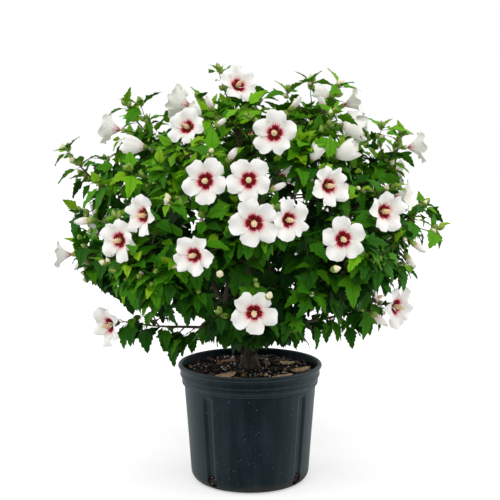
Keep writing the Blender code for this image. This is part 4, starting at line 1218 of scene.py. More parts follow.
# %% Growth of the shoots
LEADER_RISE, LEADER_STEPS = 0.15, 12
AIRY_LOW, AIRY_HIGH = 400.0, 600.0  # the crown opens up between these heights
SHOOTS_LOW, SHOOTS_HIGH = 22, 12  # shoots tried in a mass at the two heights
SINGLE_STEMS, SINGLE_SHOOTS, SINGLE_LONGEST = ("low_left", "low_right"), 5, 30.0
SHOOT_FIRST, SHOOT_SPAN = 0.08, 0.90
SHOOT_LONGEST, SHOOT_SHORTEST, SHOOT_STEP, SHOOT_KEPT = 150.0, 10.0, 5.0, (0.82, 1.0)
SPREAD_LOW, SPREAD_HIGH, SPREAD_LUCK = radians(60), radians(46), (0.7, 1.2)
SHOOT_RISE, TIP_RISE = 0.30, 0.25
LIMIT_LOW, LIMIT_HIGH = 1.06, 0.92  # how far out of the crown a shoot with its last leaf may reach
LAST_LEAF, TRESPASS = 40.0, 12  # a last leaf's length, and how far it may reach into the next mass
TWIG_FROM, MOST_TWIGS = 52.0, 3  # a shoot this long bears side twigs
TWIG_SHORT, TWIG_LONG = 18.0, 52.0
LEAF_FLOOR, FLOOR_RISE = 236.0, 0.32  # no leaf hangs lower, and the underside rises outwards
SHOOT_ABOVE, TWIG_ABOVE = 8, 10  # tips end this far above that floor
SPARSE_FLOOR, SPARSE_RISE, SPARSE_FROM = 280.0, 0.80, 150.0  # leaves not on the low boughs end higher
STALK_TRIES, STALK_FIRST = (0.22, 0.12, 0.34, 0.46, 0.02), 0.06
BLOOM_REACH, SEEN_OPEN, SEEN_FURLED = 5, 0.88, 1.2  # in radii: where a spot can hide a bloom

# Where the spires of the outline end.
SPIRES = [(-346, -10, 640), (-278, 40, 618), (-236, 44, 722), (-202, -50, 726), (-94, -26, 736),
          (-58, 10, 787), (20, 40, 738), (70, -20, 750), (116, 20, 768), (168, -30, 760),
          (226, 40, 660), (286, -20, 668), (334, 20, 534), (350, -40, 494), (-330, 30, 520),
          (-300, -60, 400), (290, -70, 424)]
# Rows of spires round the crown: count, middle turn, half the spread, first and last height.
SPIRE_ROWS = [(6, FAR_MIDDLE, radians(84), 380, 730), (9, FAR_MIDDLE, radians(100), 560, 730),
              (11, 0.0, radians(62), 560, 735)]
# Inner rows of shoots: count, first turn, half the spread, two heights, share of the way out.
INNER_ROWS = [(15, 0.0, pi, 372, 396, 0.70), (17, 0.4, pi, 404, 430, 0.86),
              (8, -2.4, 0.8, 420, 650, 0.80), (8, 1.0, 0.8, 420, 650, 0.80),
              (9, 0.2, pi, 600, 710, 0.55), (14, 0.5, pi, 490, 600, 0.55),
              (5, 0.7, 0.4, 510, 590, 0.66), (4, 0.3, 0.3, 410, 470, 0.62),
              (7, 0.2, pi, 322, 340, 0.30), (6, 2.1, 0.4, 500, 590, 0.50),
              (5, 2.3, 0.3, 415, 470, 0.40)]
INNER_RISE_LOW, INNER_RISE_HIGH = -0.3, 0.7


def airy(height):
    return smooth_step(height, AIRY_LOW, AIRY_HIGH)


def limit(height):
    return taper(LIMIT_LOW, LIMIT_HIGH, airy(height))


def shoots_tried(height):
    return round(taper(SHOOTS_LOW, SHOOTS_HIGH, airy(height)))


class Twig:
    """A line with leaves on it. Rank 0 is a leader, 1 a shoot, 2 a side twig, 3 a bloom's stalk."""

    def __init__(self, line, rank, seed, mass, spire=False):
        self.line, self.rank, self.seed, self.mass, self.spire = line, rank, seed, mass, spire
        self.length = line_length(line)


class Mass:
    """A mass of foliage: its leader, the heart of its space and the twigs that grow there."""

    def __init__(self, name, limb):
        self.name, self.low, self.single = name, name.startswith("low"), name in SINGLE_STEMS
        foot, tip = limb.line[-1], limb.leader_tip
        outwards = (tip - foot).normalized() + UP * LEADER_RISE
        self.leader = bend(foot, limb.end_way(), tip, outwards, LEADER_STEPS)
        self.heart = foot.lerp(tip, 0.5)
        self.twigs = [Twig(self.leader, 0, f"{name} leader", self)]
        self.shoots = SINGLE_SHOOTS if self.single else shoots_tried(self.heart.z)


def room(mass, place):
    """How far the place is inside the mass's own space, a cell with flat sides."""
    least = 1e9
    for other in masses:
        if other is not mass:
            apart = (other.heart - mass.heart).length
            lead = (place - other.heart).length_squared - (place - mass.heart).length_squared
            least = min(least, lead / (2 * apart))
    return least


def hides_bloom(spot, own=None):
    """True where a spot is inside a bloom, or in front of it as it faces or as one sees it."""
    for bloom in blooms:
        radius = bloom.size * (0.5 if bloom.open_wide else 0.32)
        off = spot - bloom.place
        if bloom is own or off.length > radius * BLOOM_REACH:
            continue
        ahead = off.dot(bloom.way)
        aside = (off - bloom.way * ahead).length
        if -0.3 * radius < ahead and aside < radius:
            return True
        if bloom.far or off.y > 0:
            continue
        middle = bloom.place + bloom.way * bloom.body()
        seen = Vector((spot.x - middle.x, 0, spot.z - middle.z)).length
        if seen < radius * (SEEN_OPEN if bloom.open_wide else SEEN_FURLED):
            return True
    return False


def clear(line, own=None):
    return not any(hides_bloom(spot, own) for spot in line)


print("shoots of a low and a high mass:", shoots_tried(300), shoots_tried(700))

# %% [markdown]
# ## Shoots, stalks and spires
# Shoots leave the leader at golden angles, bend up to the light and end where the crown, or the
# next mass, begins. Long ones bear side twigs. Spires stand clear of the crown's top and sides,
# and inner rows of shoots cover the limbs behind the crown's skin of leaves. A growing thing is a
# rule with a seeded chance: the same seed always gives the same shrub.

# %% Shoots, stalks and spires
def shoot_line(mass, number):
    """A seeded shoot, or None where it has no room."""
    chance = random.Random(f"{mass.name} shoot {number}")
    share = SHOOT_FIRST + SHOOT_SPAN * ((number * GOLDEN_SHARE + 0.2) % 1)
    foot, way, side = along(mass.leader, share)
    spread = taper(SPREAD_LOW, SPREAD_HIGH, airy(foot.z))
    spread = spread * chance.uniform(*SPREAD_LUCK) * (1.15 - 0.5 * share)
    first = leaning(way, side, number * GOLDEN_TURN + len(mass.name), spread)
    last = (first + UP * SHOOT_RISE).normalized()
    middle = (first + last).normalized()
    reach = 0.0
    while reach < (SINGLE_LONGEST if mass.single else SHOOT_LONGEST):
        tip = foot + middle * (reach + SHOOT_STEP)
        leaf_tip = tip + last * LAST_LEAF
        if crown_share(leaf_tip) > limit(tip.z) or room(mass, leaf_tip) < -TRESPASS:
            break
        if tip.z < LEAF_FLOOR + SHOOT_ABOVE or hides_bloom(tip):
            break
        reach += SHOOT_STEP
    if reach < SHOOT_SHORTEST:
        return None
    return bend(foot, first, foot + middle * (reach * chance.uniform(*SHOOT_KEPT)), last + UP * TIP_RISE, 6)


def stalk_line(mass, end, end_way, own=None):
    """A shoot that leaves the leader below a bloom or spire and comes in along its axis."""
    shares = [i / 20 for i in range(2, 19)]
    nearest = min(shares, key=lambda s: (along(mass.leader, s)[0] - end).length)
    for back in STALK_TRIES:
        foot, way, _ = along(mass.leader, max(STALK_FIRST, nearest - back))
        gap = (end - foot).normalized()
        line = bend(foot, way * 0.7 + gap, end, end_way * 0.7 + gap * 0.5, 9)
        if clear(line, own):
            break
    return line


def side_twigs(shoot):
    """Short twigs off a long shoot."""
    chance = random.Random(f"{shoot.seed} twigs")
    for i in range(min(MOST_TWIGS, int(shoot.length / TWIG_FROM))):
        foot, way, side = along(shoot.line, 0.3 + 0.5 * (i + chance.random()) / 3)
        side = Matrix.Rotation(chance.uniform(0, 6.28) + i * GOLDEN_TURN, 3, way) @ side
        reach = chance.uniform(TWIG_SHORT, TWIG_LONG)
        first = way * 0.7 + side * 0.8
        tip = foot + (first + UP * 0.15).normalized() * reach
        if crown_share(tip) < limit(tip.z) - 0.05 and tip.z > LEAF_FLOOR + TWIG_ABOVE:
            line = bend(foot, first, tip, first + UP * 0.4, 4)
            if clear(line[1:]):
                yield Twig(line, 2, f"{shoot.seed} twig {i}", shoot.mass)


def spire_places():
    yield from (Vector(place) for place in SPIRES)
    for count, middle, spread, low, high in SPIRE_ROWS:
        for i in range(count):
            turn = spread_turn(middle, spread, i * GOLDEN_SHARE + 0.3)
            yield on_crown(turn, taper(low, high, (i + 0.5) / count))


def inner_places():
    for count, first, spread, low, high, share in INNER_ROWS:
        for i in range(count):
            yield on_crown(first + spread * 2 * i / count, taper(low, high, (i * GOLDEN_SHARE) % 1), share)


def add_stalk(name, end, end_way, rank=1, spire=False, own=None):
    """A twig of the nearest mass that ends at a set place. Only those that hide no bloom are kept."""
    mass = min(masses, key=lambda m: (m.heart - end).length)
    line = stalk_line(mass, end, end_way, own)
    if own or spire or clear(line):
        mass.twigs.append(Twig(line, rank, name, mass, spire))


def grow_all():
    """Stalks and spires first, because they have set ends, then the shoots and their twigs."""
    for bloom in blooms:
        add_stalk(f"{bloom.name} stalk", bloom.stalk_end(), bloom.way, 3, own=bloom)
    for number, place in enumerate(p for p in spire_places() if not hides_bloom(p)):
        add_stalk(f"spire {number}", place, (place - CROWN_MIDDLE).normalized() + UP * 0.8, spire=True)
    for number, place in enumerate(p for p in inner_places() if not hides_bloom(p)):
        outwards = Vector((place.x, place.y, 0)).normalized()
        rise = taper(INNER_RISE_LOW, INNER_RISE_HIGH, airy(place.z))
        add_stalk(f"inner {number}", place, outwards + UP * rise)
    for mass in masses:
        lines = [(number, shoot_line(mass, number)) for number in range(mass.shoots)]
        mass.twigs += [Twig(line, 1, f"{mass.name} shoot {number}", mass) for number, line in lines if line]
        for twig in list(mass.twigs):
            if twig.rank in (1, 3) and not (twig.spire or mass.single):
                mass.twigs += side_twigs(twig)
    return [twig for mass in masses for twig in mass.twigs]


masses = [Mass(name, limb) for name, limb in limbs.items()]
twigs = grow_all()
print(f"{len(twigs)} twigs, {sum(t.length for t in twigs) / 1000:.1f} m of them")

# %% [markdown]
# ## Twigs
# A twig is only a line until it gets its thickness. All lines go into one mesh of edges with a
# radius at each point, and a small Geometry Nodes tree turns edges to curves, curves to tubes, and
# sets the material: new wood is green, older wood is brown. A tube this thin needs four sides.

# %% Twigs
TWIG_SIDES = 4
FOOT_RADII, TIP_RADII = (3.2, 1.7, 1.0, 1.7), (0.6, 0.6, 0.6, 1.1)  # by the twig's rank
WOODY, WOODY_SPIRE = (0.8, 0.2, 0.0, 0.0), 0.55  # the share of its length that is brown


def tubes_tree(name, materials):
    """Edges with a radius and a tint in, tubes out."""
    wanted = {"Lines": ["Geometry"], "Sides": ["Int", TWIG_SIDES], "Thickness": ["Float", 1.0]}
    nodes, given, inputs = new_tree(name, **wanted)
    curves = nodes.add("GeometryNodeMeshToCurve", None, {"Mesh": given["Lines"]})
    radius = attribute(nodes, "radius_m", "FLOAT") * given["Thickness"]
    sizes = {"Resolution": given["Sides"], "Radius": 1.0}
    profile = nodes.add("GeometryNodeCurvePrimitiveCircle", {"mode": "RADIUS"}, sizes)
    sockets = {"Curve": curves, "Profile Curve": profile, "Scale": radius, "Fill Caps": True}
    close_tree(nodes, nodes.add("GeometryNodeCurveToMesh", None, sockets), materials)
    return nodes.tree, inputs


def twig_skin(nodes, place):
    return {"Normal": relief(nodes, nodes.noise(place, 700, 3), 0.0006)}


def grow_twigs():
    points, edges, radii, tints = [], [], [], []
    for twig in twigs:
        count = len(twig.line)
        edges += [(len(points) + i, len(points) + i + 1) for i in range(count - 1)]
        points += twig.line
        ends = FOOT_RADII[twig.rank], TIP_RADII[twig.rank]
        radii += [taper(*ends, i / (count - 1)) * MM for i in range(count)]
        woody = WOODY_SPIRE if twig.spire else WOODY[twig.rank]
        tints += [int(i < count * woody) for i in range(count)]
    piece = new_object("twigs", points, [], edges=edges)
    set_values(piece, "radius_m", "FLOAT", "POINT", radii)
    set_values(piece, "tint", "INT", "POINT", tints)
    green = surface("twig_green", twig_skin, Base_Color=(0.115, 0.115, 0.028), Roughness=0.6)
    brown = surface("twig_brown", twig_skin, Base_Color=(0.090, 0.062, 0.030), Roughness=0.7)
    grow(piece, *tubes_tree("twig_tubes", [green, brown]), Sides=TWIG_SIDES, Thickness=1.0)
    piece.data.attributes.remove(piece.data.attributes["radius_m"])
    piece.data.shade_smooth()
    return piece


foliage_solids = [f"foliage_{mass.name}" for mass in masses]
hand_over(grow_twigs(), "bark", *foliage_solids)

# %% [markdown]
# ## Shapes of leaves
# The leaf of a rose-of-Sharon is a rhombus with three lobes and coarse teeth, on a stalk a quarter
# of its length. Half of its outline is a list of points, each a height along the leaf and a
# distance from its midrib. The sheet runs from edge to midrib to edge, and the midrib's points lag
# behind the edge's, as veins do, so it can fold along its midrib and arch. Five such shapes are
# enough, because each leaf is also turned and scaled.

# %% Shapes of leaves
LOBED = [(0, .03), (.05, .16), (.15, .25), (.24, .30), (.35, .43), (.41, .42), (.43, .27), (.54, .28),
         (.59, .26), (.61, .21), (.72, .21), (.78, .18), (.80, .12), (.91, .10), (1, .01)]
BROAD = [(0, .03), (.04, .19), (.13, .31), (.25, .37), (.38, .42), (.43, .40), (.45, .33), (.57, .33),
         (.60, .25), (.71, .25), (.74, .17), (.86, .15), (1, .01)]
NARROW = [(0, .02), (.08, .13), (.20, .22), (.34, .32), (.40, .31), (.42, .24), (.54, .26), (.57, .20),
          (.69, .19), (.72, .13), (.85, .12), (1, .01)]
DEEP = [(0, .02), (.06, .16), (.16, .25), (.28, .38), (.40, .46), (.44, .41), (.42, .27), (.46, .21),
        (.59, .25), (.62, .19), (.75, .18), (.78, .12), (.90, .09), (1, .01)]
YOUNG = [(0, .02), (.10, .16), (.24, .26), (.37, .31), (.41, .24), (.54, .25), (.58, .18), (.72, .17),
         (.77, .11), (.89, .08), (1, .01)]
# Outline, fold along the midrib and arch from foot to tip. The young one is the last.
LEAF_KINDS = [(LOBED, 0.20, 0.30), (BROAD, 0.16, 0.38), (NARROW, 0.28, 0.26), (DEEP, 0.20, 0.42),
              (YOUNG, 0.34, 0.24)]
YOUNG_KIND = len(LEAF_KINDS) - 1
TWISTS, SKEWS = (-0.10, 0.10), (-0.03, 0.03)
WAVE_HEIGHT, WAVE_COUNT = 0.022, 17  # ripples along the leaf's two edges
STALK_SHARE, STALK_RADIUS, STALK_SIDES = 0.26, 0.014, 3
VEIN_LAG = 0.40  # how far the midrib's point lags behind the edge's, as a share of the half width


def ring_y(radius, y, count):
    """A ring round the Y axis."""
    return [(radius * cos(t), y, -radius * sin(t)) for t in turns(count)]


def leaf(outline, fold, arch, seed):
    chance = random.Random(f"leaf {seed}")
    twist, skew = chance.uniform(*TWISTS), chance.uniform(*SKEWS)
    rows = []
    for height, half in outline:
        row = []
        for across in (-1, 0, 1):
            y = height + skew * across if across else max(0.0, height - VEIN_LAG * half)
            x = half * across
            wave = WAVE_HEIGHT * sin(height * WAVE_COUNT + seed + across) * abs(across)
            z = fold * abs(x) + wave - arch * y * y + twist * x * height
            row.append((x, STALK_SHARE + y, z))
        rows.append(row)
    rows[-1] = [(x, STALK_SHARE + 1, z) for x, _, z in rows[-1]]
    shape = Shape()
    shape.add_sheet([ring_y(STALK_RADIUS, y, STALK_SIDES) for y in (0, STALK_SHARE + 0.02)], closed=True)
    shape.add_sheet(rows)
    return shape.parts()


leaf_shapes = [leaf(outline, fold, arch, seed) for seed, (outline, fold, arch) in enumerate(LEAF_KINDS)]
print("faces of each leaf:", [len(faces) for _, faces, _, _ in leaf_shapes])

# %% [markdown]
# ## Where the leaves sit
# Leaves leave a twig one by one, each turned by the golden angle from the last, and the tip has a
# star of small young ones. High on the shrub they are smaller, farther apart and spread flat to the
# light, and low on it they are large and hang. A leaf is tried at three sizes, and is left out
# where it would leave the crown, hang too low, hide an open bloom or crowd another. Most of those
# in the dark heart of the crown are shed, and some low ones at its sides.

# %% Where the leaves sit
SPACING_LOW, SPACING_HIGH, SPACING_SINGLE = 17.0, 25.0, 19.0
# The length of a blade near the foot of a twig and near its tip.
SIZES_LOW, SIZES_HIGH, SIZES_SINGLE, SIZE_LUCK = (56.0, 41.0), (35.0, 27.0), (46.0, 36.0), (0.62, 1.2)
BARE_LEADER, BARE_TWIG, LEAVES_END = 0.25, 0.08, 0.96  # shares of its length where leaves start and end
LEAF_SPREAD, LEAF_SPREAD_LUCK = radians(62), (0.8, 1.25)
STAR_LEAVES, STAR_YOUNG, STAR_STEP = 4, 2, 0.8  # the last two of a star are young ones
STAR_SIZES, STAR_SIZE_LUCK = (42.0, 27.0), (0.85, 1.15)
STAR_SPREAD, STAR_CLOSING, STAR_SPREAD_LUCK = 76, 12, (0.85, 1.1)  # degrees, and how each next one closes
DROOP_LOW, DROOP_HIGH, DROOP_FROM, DROOP_TO, DROOP_LUCK = 1.25, 0.05, 300, 680, (0.6, 1.4)
LOOK_UP, LOOK_OUT, LOOK_OUT_SINGLE = 0.8, 0.5, 0.2  # what a leaf's face looks to
LOOK_LUCK_LOW, LOOK_LUCK_HIGH = 0.35, 0.75
LEAF_MIDDLE = 0.8  # of a blade's length from the foot of the stalk
LEAF_LIMIT = 1.16  # how far out of the crown a leaf's tip may reach
BARE_FROM, BARE_TO, BARE_KEPT = 0.25, 0.65, 0.45  # shares of the crown, and leaves kept at its heart
THIN_SIDES, THIN_TOP, THIN_KEPT = 205.0, 500.0, 0.62  # beyond and below these fewer leaves are kept
SHRINKS = (1.0, 0.8, 0.64)  # shares of its size that are tried for a leaf
CROWDED = 11.0  # one leaf has its middle in a cube of this size
BOX_MARGIN = 2.0  # a tip stays this far inside the box of the solids
box_low = cad_low / MM + Vector((1, 1, 0)) * BOX_MARGIN
box_high = cad_high / MM - Vector((1, 1, 1)) * BOX_MARGIN


class Leaf:
    """A leaf on a twig: its foot, the way it points, the way its face looks, size and kind."""

    def __init__(self, twig, place, way, size, chance, young):
        hang = droop(place.z) * chance.uniform(*DROOP_LUCK)
        self.twig, self.place, self.size, self.young = twig, place, size, young
        self.way = (way.normalized() - UP * hang).normalized()
        out = LOOK_OUT_SINGLE if twig.mass.single else LOOK_OUT
        self.look = UP * LOOK_UP + way.normalized() * hang + (place - CROWN_MIDDLE).normalized() * out
        luck = taper(LOOK_LUCK_LOW, LOOK_LUCK_HIGH, airy(place.z))
        self.look += Vector([chance.uniform(-luck, luck) for _ in range(3)])
        self.kind = YOUNG_KIND if young else chance.choice((0, 0, 1, 2, 3))

    def shrink(self, share):
        self.now = self.size * share
        self.middle = self.place + self.way * self.now * LEAF_MIDDLE
        self.tip = self.place + self.way * self.now * (1 + STALK_SHARE)

    def lowest(self):
        """How low its tip may hang: the crown's underside rises to its sides, but not low boughs."""
        if self.twig.mass.single:
            return LEAF_FLOOR
        if self.twig.mass.low:
            return LEAF_FLOOR + FLOOR_RISE * math.hypot(self.tip.x, self.tip.y)
        return SPARSE_FLOOR + SPARSE_RISE * max(0.0, abs(self.tip.x) - SPARSE_FROM)

    def fits(self):
        if self.tip.z < self.lowest() or crown_share(self.tip) > LEAF_LIMIT:
            return False
        inside = all(low < t < high for low, t, high in zip(box_low, self.tip, box_high))
        return inside and not any(hides_bloom(s) for s in (self.place, self.middle, self.tip))


def sheds(leaf):
    """True for most leaves in the heart of the crown, and for some low ones at its two sides."""
    kept = taper(BARE_KEPT, 1.0, smooth_step(crown_share(leaf.middle), BARE_FROM, BARE_TO))
    if abs(leaf.middle.x) > THIN_SIDES and leaf.middle.z < THIN_TOP and not leaf.twig.mass.single:
        kept = THIN_KEPT
    return random.Random(f"{leaf.place} sheds").random() > kept


def droop(height):
    share = min(max((height - DROOP_FROM) / (DROOP_TO - DROOP_FROM), 0.0), 1.0)
    return taper(DROOP_LOW, DROOP_HIGH, share ** 0.8)


def star_of(twig, chance, phase):
    """Leaves close together at a twig's tip, from large and spread out to small and steep."""
    place, way, side = along(twig.line, 1.0)
    for i in range(STAR_LEAVES):
        spread = radians(STAR_SPREAD - STAR_CLOSING * i) * chance.uniform(*STAR_SPREAD_LUCK)
        leaf_way = leaning(way, side, phase + i * GOLDEN_TURN, spread)
        size = taper(*STAR_SIZES, i / (STAR_LEAVES - 1)) * chance.uniform(*STAR_SIZE_LUCK)
        foot = place - way * (STAR_LEAVES - i) * STAR_STEP
        yield Leaf(twig, foot, leaf_way, size, chance, i >= STAR_YOUNG)


def leaves_of(twig):
    chance = random.Random(f"{twig.seed} leaves")
    open_up, single = airy(twig.line[-1].z), twig.mass.single
    spacing = SPACING_SINGLE if single else taper(SPACING_LOW, SPACING_HIGH, open_up)
    count = max(1, int(twig.length / spacing))
    sizes = [taper(low, high, open_up) for low, high in zip(SIZES_LOW, SIZES_HIGH)]
    phase = chance.uniform(0, 6.28)
    bare = BARE_LEADER if twig.rank == 0 and not single else BARE_TWIG
    for i in range(count):
        share = bare + (LEAVES_END - bare) * (i + 0.5) / count
        place, way, side = along(twig.line, share)
        spread = LEAF_SPREAD * chance.uniform(*LEAF_SPREAD_LUCK)
        leaf_way = leaning(way, side, phase + i * GOLDEN_TURN, spread)
        size = taper(*(SIZES_SINGLE if single else sizes), share) * chance.uniform(*SIZE_LUCK)
        yield Leaf(twig, place, leaf_way, size, chance, False)
    if twig.rank != 3:
        yield from star_of(twig, chance, phase)


def place_leaves():
    kept, taken = [], set()
    for twig in twigs:
        for leaf in leaves_of(twig):
            for share in SHRINKS:
                leaf.shrink(share)
                cell = tuple(int(c // CROWDED) for c in leaf.middle)
                if cell not in taken and leaf.fits() and not sheds(leaf):
                    taken.add(cell)
                    kept.append(leaf)
                    break
    return kept


leaves = place_leaves()
print(f"{len(leaves)} leaves")

# %% [markdown]
# ## Leaf surfaces
# A leaf isn't one green, and its greens also paint the light. Sprays high and at the outside get
# bright yellow-greens, which are painted light, inner and low ones get deep greens, which are painted
# shade, and young tips are pale. Each zone of the crown has its own three greens, dealt to whole
# leaves by chance. The light that a zone paints grows with a leaf's height and with how far out it
# sits, and leaves of one twig are alike. A pattern on the leaf's own UV map raises a midrib, and
# side veins that run forwards. It feeds only the normal and the gloss, so every leaf keeps its colour.

# %% Leaf surfaces
# The greens of each zone: the darker ones are painted shade, the brighter ones painted light, and the young
# ones are pale tips.
LEAF_GREENS = {
    "young": [(0.190, 0.420, 0.007), (0.280, 0.530, 0.014), (0.125, 0.340, 0.005)],
    "bright": [(0.095, 0.320, 0.003), (0.160, 0.430, 0.006), (0.050, 0.215, 0.002)],
    "middle": [(0.034, 0.180, 0.002), (0.064, 0.250, 0.003), (0.018, 0.115, 0.002)],
    "shade": [(0.008, 0.058, 0.001), (0.016, 0.095, 0.002), (0.004, 0.032, 0.001)],
}
VEIN_SLOPE, VEIN_PAIRS = 0.5, 7
TWIG_LUCK, LEAF_LUCK = 0.13, 0.08
LIGHT_OUT, LIGHT_UP, LIGHT_FROM, LIGHT_SPAN = 0.7, 0.62, 345, 450
LIGHT_SINGLE, LUCK_SINGLE = 0.72, 0.6
COLLAR_TOP, COLLAR_SHADE = 335.0, 0.18  # leaves below this height get darker greens, painted shade for the crown's own shadow
YOUNG_ABOVE, BRIGHT_ABOVE, MIDDLE_ABOVE = 0.86, 0.95, 0.68  # the light that each zone needs


def veins(nodes, place):
    spot = nodes.add("ShaderNodeUVMap", {"uv_map": "UVMap"})
    parts = nodes.add("ShaderNodeSeparateXYZ", None, {0: spot})
    aside = (parts["X"] - 0.5).math("ABSOLUTE")
    run = (parts["Y"] - aside * VEIN_SLOPE) * VEIN_PAIRS
    side_veins = (run.math("FRACT") - 0.5).math("ABSOLUTE")
    ridge = side_veins.above(0.42, 0.06) * 0.6 + (0.04 - aside).above(0, 0.03)
    blister = nodes.noise(place, 900, 2)
    gloss = blister * 0.22 + ridge * 0.08 + 0.42
    return {"Normal": relief(nodes, blister * 0.5 - ridge, 0.0012), "Roughness": gloss}


def zone(leaf):
    """Which greens a leaf gets, as painted light and painted shade, by how much light would reach its place.
    """
    luck = random.Random(leaf.twig.seed).uniform(-TWIG_LUCK, TWIG_LUCK)
    luck += random.Random(str(leaf.place)).uniform(-LEAF_LUCK, LEAF_LUCK)
    height = leaf.middle.z
    light = LIGHT_OUT * crown_share(leaf.middle) + LIGHT_UP * (height - LIGHT_FROM) / LIGHT_SPAN + luck
    if leaf.twig.mass.single:
        light = LIGHT_SINGLE + luck * LUCK_SINGLE
    elif height < COLLAR_TOP:
        light -= COLLAR_SHADE
    if leaf.young and light > YOUNG_ABOVE:
        return "young"
    if light > BRIGHT_ABOVE:
        return "bright"
    return "middle" if light > MIDDLE_ABOVE else "shade"


for name, greens in LEAF_GREENS.items():
    chosen = [leaf for leaf in leaves if zone(leaf) == name]
    places = [(leaf.place, leaf.way, leaf.look, leaf.now, leaf.kind) for leaf in chosen]
    materials = [surface(f"leaf_{name}_{i}", veins, Base_Color=green, Specular_IOR_Level=0.12)
                 for i, green in enumerate(greens)]
    hand_over(deal(f"leaves_{name}", places, leaf_shapes, materials), "foliage", *foliage_solids)

# %% [markdown]
# ## Open blooms
# An open bloom has five petals that overlap like a pinwheel round a long column of stamens. A petal
# is a sheet over two numbers: how far out from the throat, and how far across. Formulas give its
# width, its notched and rippled rim and the depth of the cup. The eye is a tint of the faces: from
# crimson near the throat over rose and blush to white. Its border bends across each petal, which
# gives the eye its five rounded lobes.

# %% Open blooms
CRIMSON_DEEP, CRIMSON, ROSE, BLUSH, WHITE, WHITE_WARM = range(6)
CREAM, POLLEN, PALE_CREAM, SEPAL, SEPAL_LIGHT, PAINTED_GLOW_WHITE = range(6, 12)
PETALS, PETAL_COLUMNS = 5, 12
PETAL_ROWS = [.04, .09, .14, .18, .215, .245, .28, .33, .40, .52, .66, .80, .91, 1]
EYE = [(.12, CRIMSON_DEEP), (.262, CRIMSON), (.31, ROSE), (.38, BLUSH), (.60, WHITE_WARM), (9, WHITE)]
# A trumpet's petals end in white with a stronger painted glow.
TRUMPET_EYE = [(.07, CRIMSON), (.13, ROSE), (.25, BLUSH), (9, PAINTED_GLOW_WHITE)]
COLUMN = [(.055, 0), (.065, .25), (.09, .5), (.085, .8), (.04, 1)]
CUP = [(.05, 0), (.16, .16), (.20, .38), (.19, .62)]
SEPAL_WIDTHS = [(0, .13), (.35, .14), (.7, .085), (1, .004)]
BRACT_WIDTHS = [(0, .028), (.5, .03), (1, .004)]
ANTHERS, STIGMAS, BRACTS, CUP_SIDES, COLUMN_SIDES, CALYX_SIZE = 30, 5, 7, 10, 7, 0.6
FRILL, THROAT = 0.018, 0.18


def at(turn, out, height):
    """A place from its turn round the Z axis, its distance and its height."""
    return Vector((cos(turn) * out, sin(turn) * out, height))


def petal_point(petal, out, across, depth, open_wide, crinkle, seed):
    """A point of a petal. The bloom faces +Z, and its rim has a radius of about 1."""
    half = radians(41) * (0.72 + 0.28 * smooth_step(out, 0.0, 0.35))
    turn = radians(72) * petal + across * half
    edge = smooth_step(out, 0.45, 1.0)
    lobe = 1 - 0.42 * abs(across) ** 3 * edge - 0.04 * math.exp(-(across / 0.14) ** 2) * edge
    lobe *= 1 + 0.06 * sin(petal * 2.3 + seed * 5)
    ripple = crinkle * noise.noise(Vector((across * 2.6 + petal * 7, out * 1.5, seed)))
    teeth = FRILL * sin(across * 17 + petal * 2.7 + seed) * smooth_step(out, 0.8, 1.0)
    radius = max(open_wide * out ** 0.82 * (lobe + ripple * edge * 0.8 + teeth), 0.035)
    rise = depth * (1 - (1 - out) ** 1.7) * (1.05 - 0.25 * out * open_wide)
    wave = edge * crinkle * 1.6 * sin(across * 5.5 + petal * 2.4 + seed)
    curl = -0.10 * edge * edge * abs(across) ** 2
    pinwheel = 0.05 * across * smooth_step(out, 0.12, 0.6)
    return at(turn, radius, rise - depth + THROAT + wave + curl + pinwheel)


def eye_tint(row, column, bands):
    """The colour of a petal's face: bands that reach farther out in the petal's middle."""
    out = (PETAL_ROWS[row] + PETAL_ROWS[row + 1]) / 2
    across = abs((column + 0.5) / PETAL_COLUMNS * 2 - 1)
    feather = 0.012 if column % 2 else -0.008
    spot = out + 0.09 * across ** 4 + feather
    return next(tint for edge, tint in bands if spot < edge)


def ring_z(radius, z, count):
    return [at(turn, radius, z) for turn in turns(count)]


def add_bead(shape, middle, radius, tint):
    """A bead of eight faces."""
    start = len(shape.points)
    axes = [Vector((1, 0, 0)), Vector((0, 1, 0)), Vector((-1, 0, 0)), Vector((0, -1, 0))]
    shape.points += [middle + a * radius for a in axes] + [middle - UP * radius, middle + UP * radius]
    shape.marks += [(0.5, 0.5)] * 6
    for i in range(4):
        a, b = start + i, start + (i + 1) % 4
        shape.faces += [(a, b, start + 5), (b, a, start + 4)]
        shape.tints += [tint, tint]


def add_column(shape, throat, length, seed):
    """The column of stamens: a tapering rod with rows of anthers and five stigmas on its tip."""
    shape.add_skin([ring_z(r, throat + length * t, COLUMN_SIDES) for r, t in COLUMN], CREAM)
    for i in range(ANTHERS):
        t = 0.28 + 0.62 * i / ANTHERS
        middle = at(i * GOLDEN_TURN + seed, 0.110 * (1.1 - 0.4 * t), throat + length * t)
        add_bead(shape, middle, 0.034, POLLEN)
    for turn in turns(STIGMAS):
        add_bead(shape, at(turn + seed, 0.05, throat + length * 1.10), 0.030, PALE_CREAM)


def add_blades(shape, turned, size, foot, path, widths, tint, keel=0.0):
    """A ring of pointed blades. Path: how far out one starts and goes, how high it starts and goes."""
    out, reach, low, rise = path
    for turn in turned:
        way, side = at(turn, 1, 0), Vector((-sin(turn), cos(turn), 0))
        rows = []
        for t, wide in widths:
            spot = way * (out + reach * t) * size + UP * (foot + (low + rise * t) * size)
            row = [spot - side * wide * size, spot + way * keel * size, spot + side * wide * size]
            rows.append(row if keel else row[::2])
        shape.add_sheet(rows, tint)


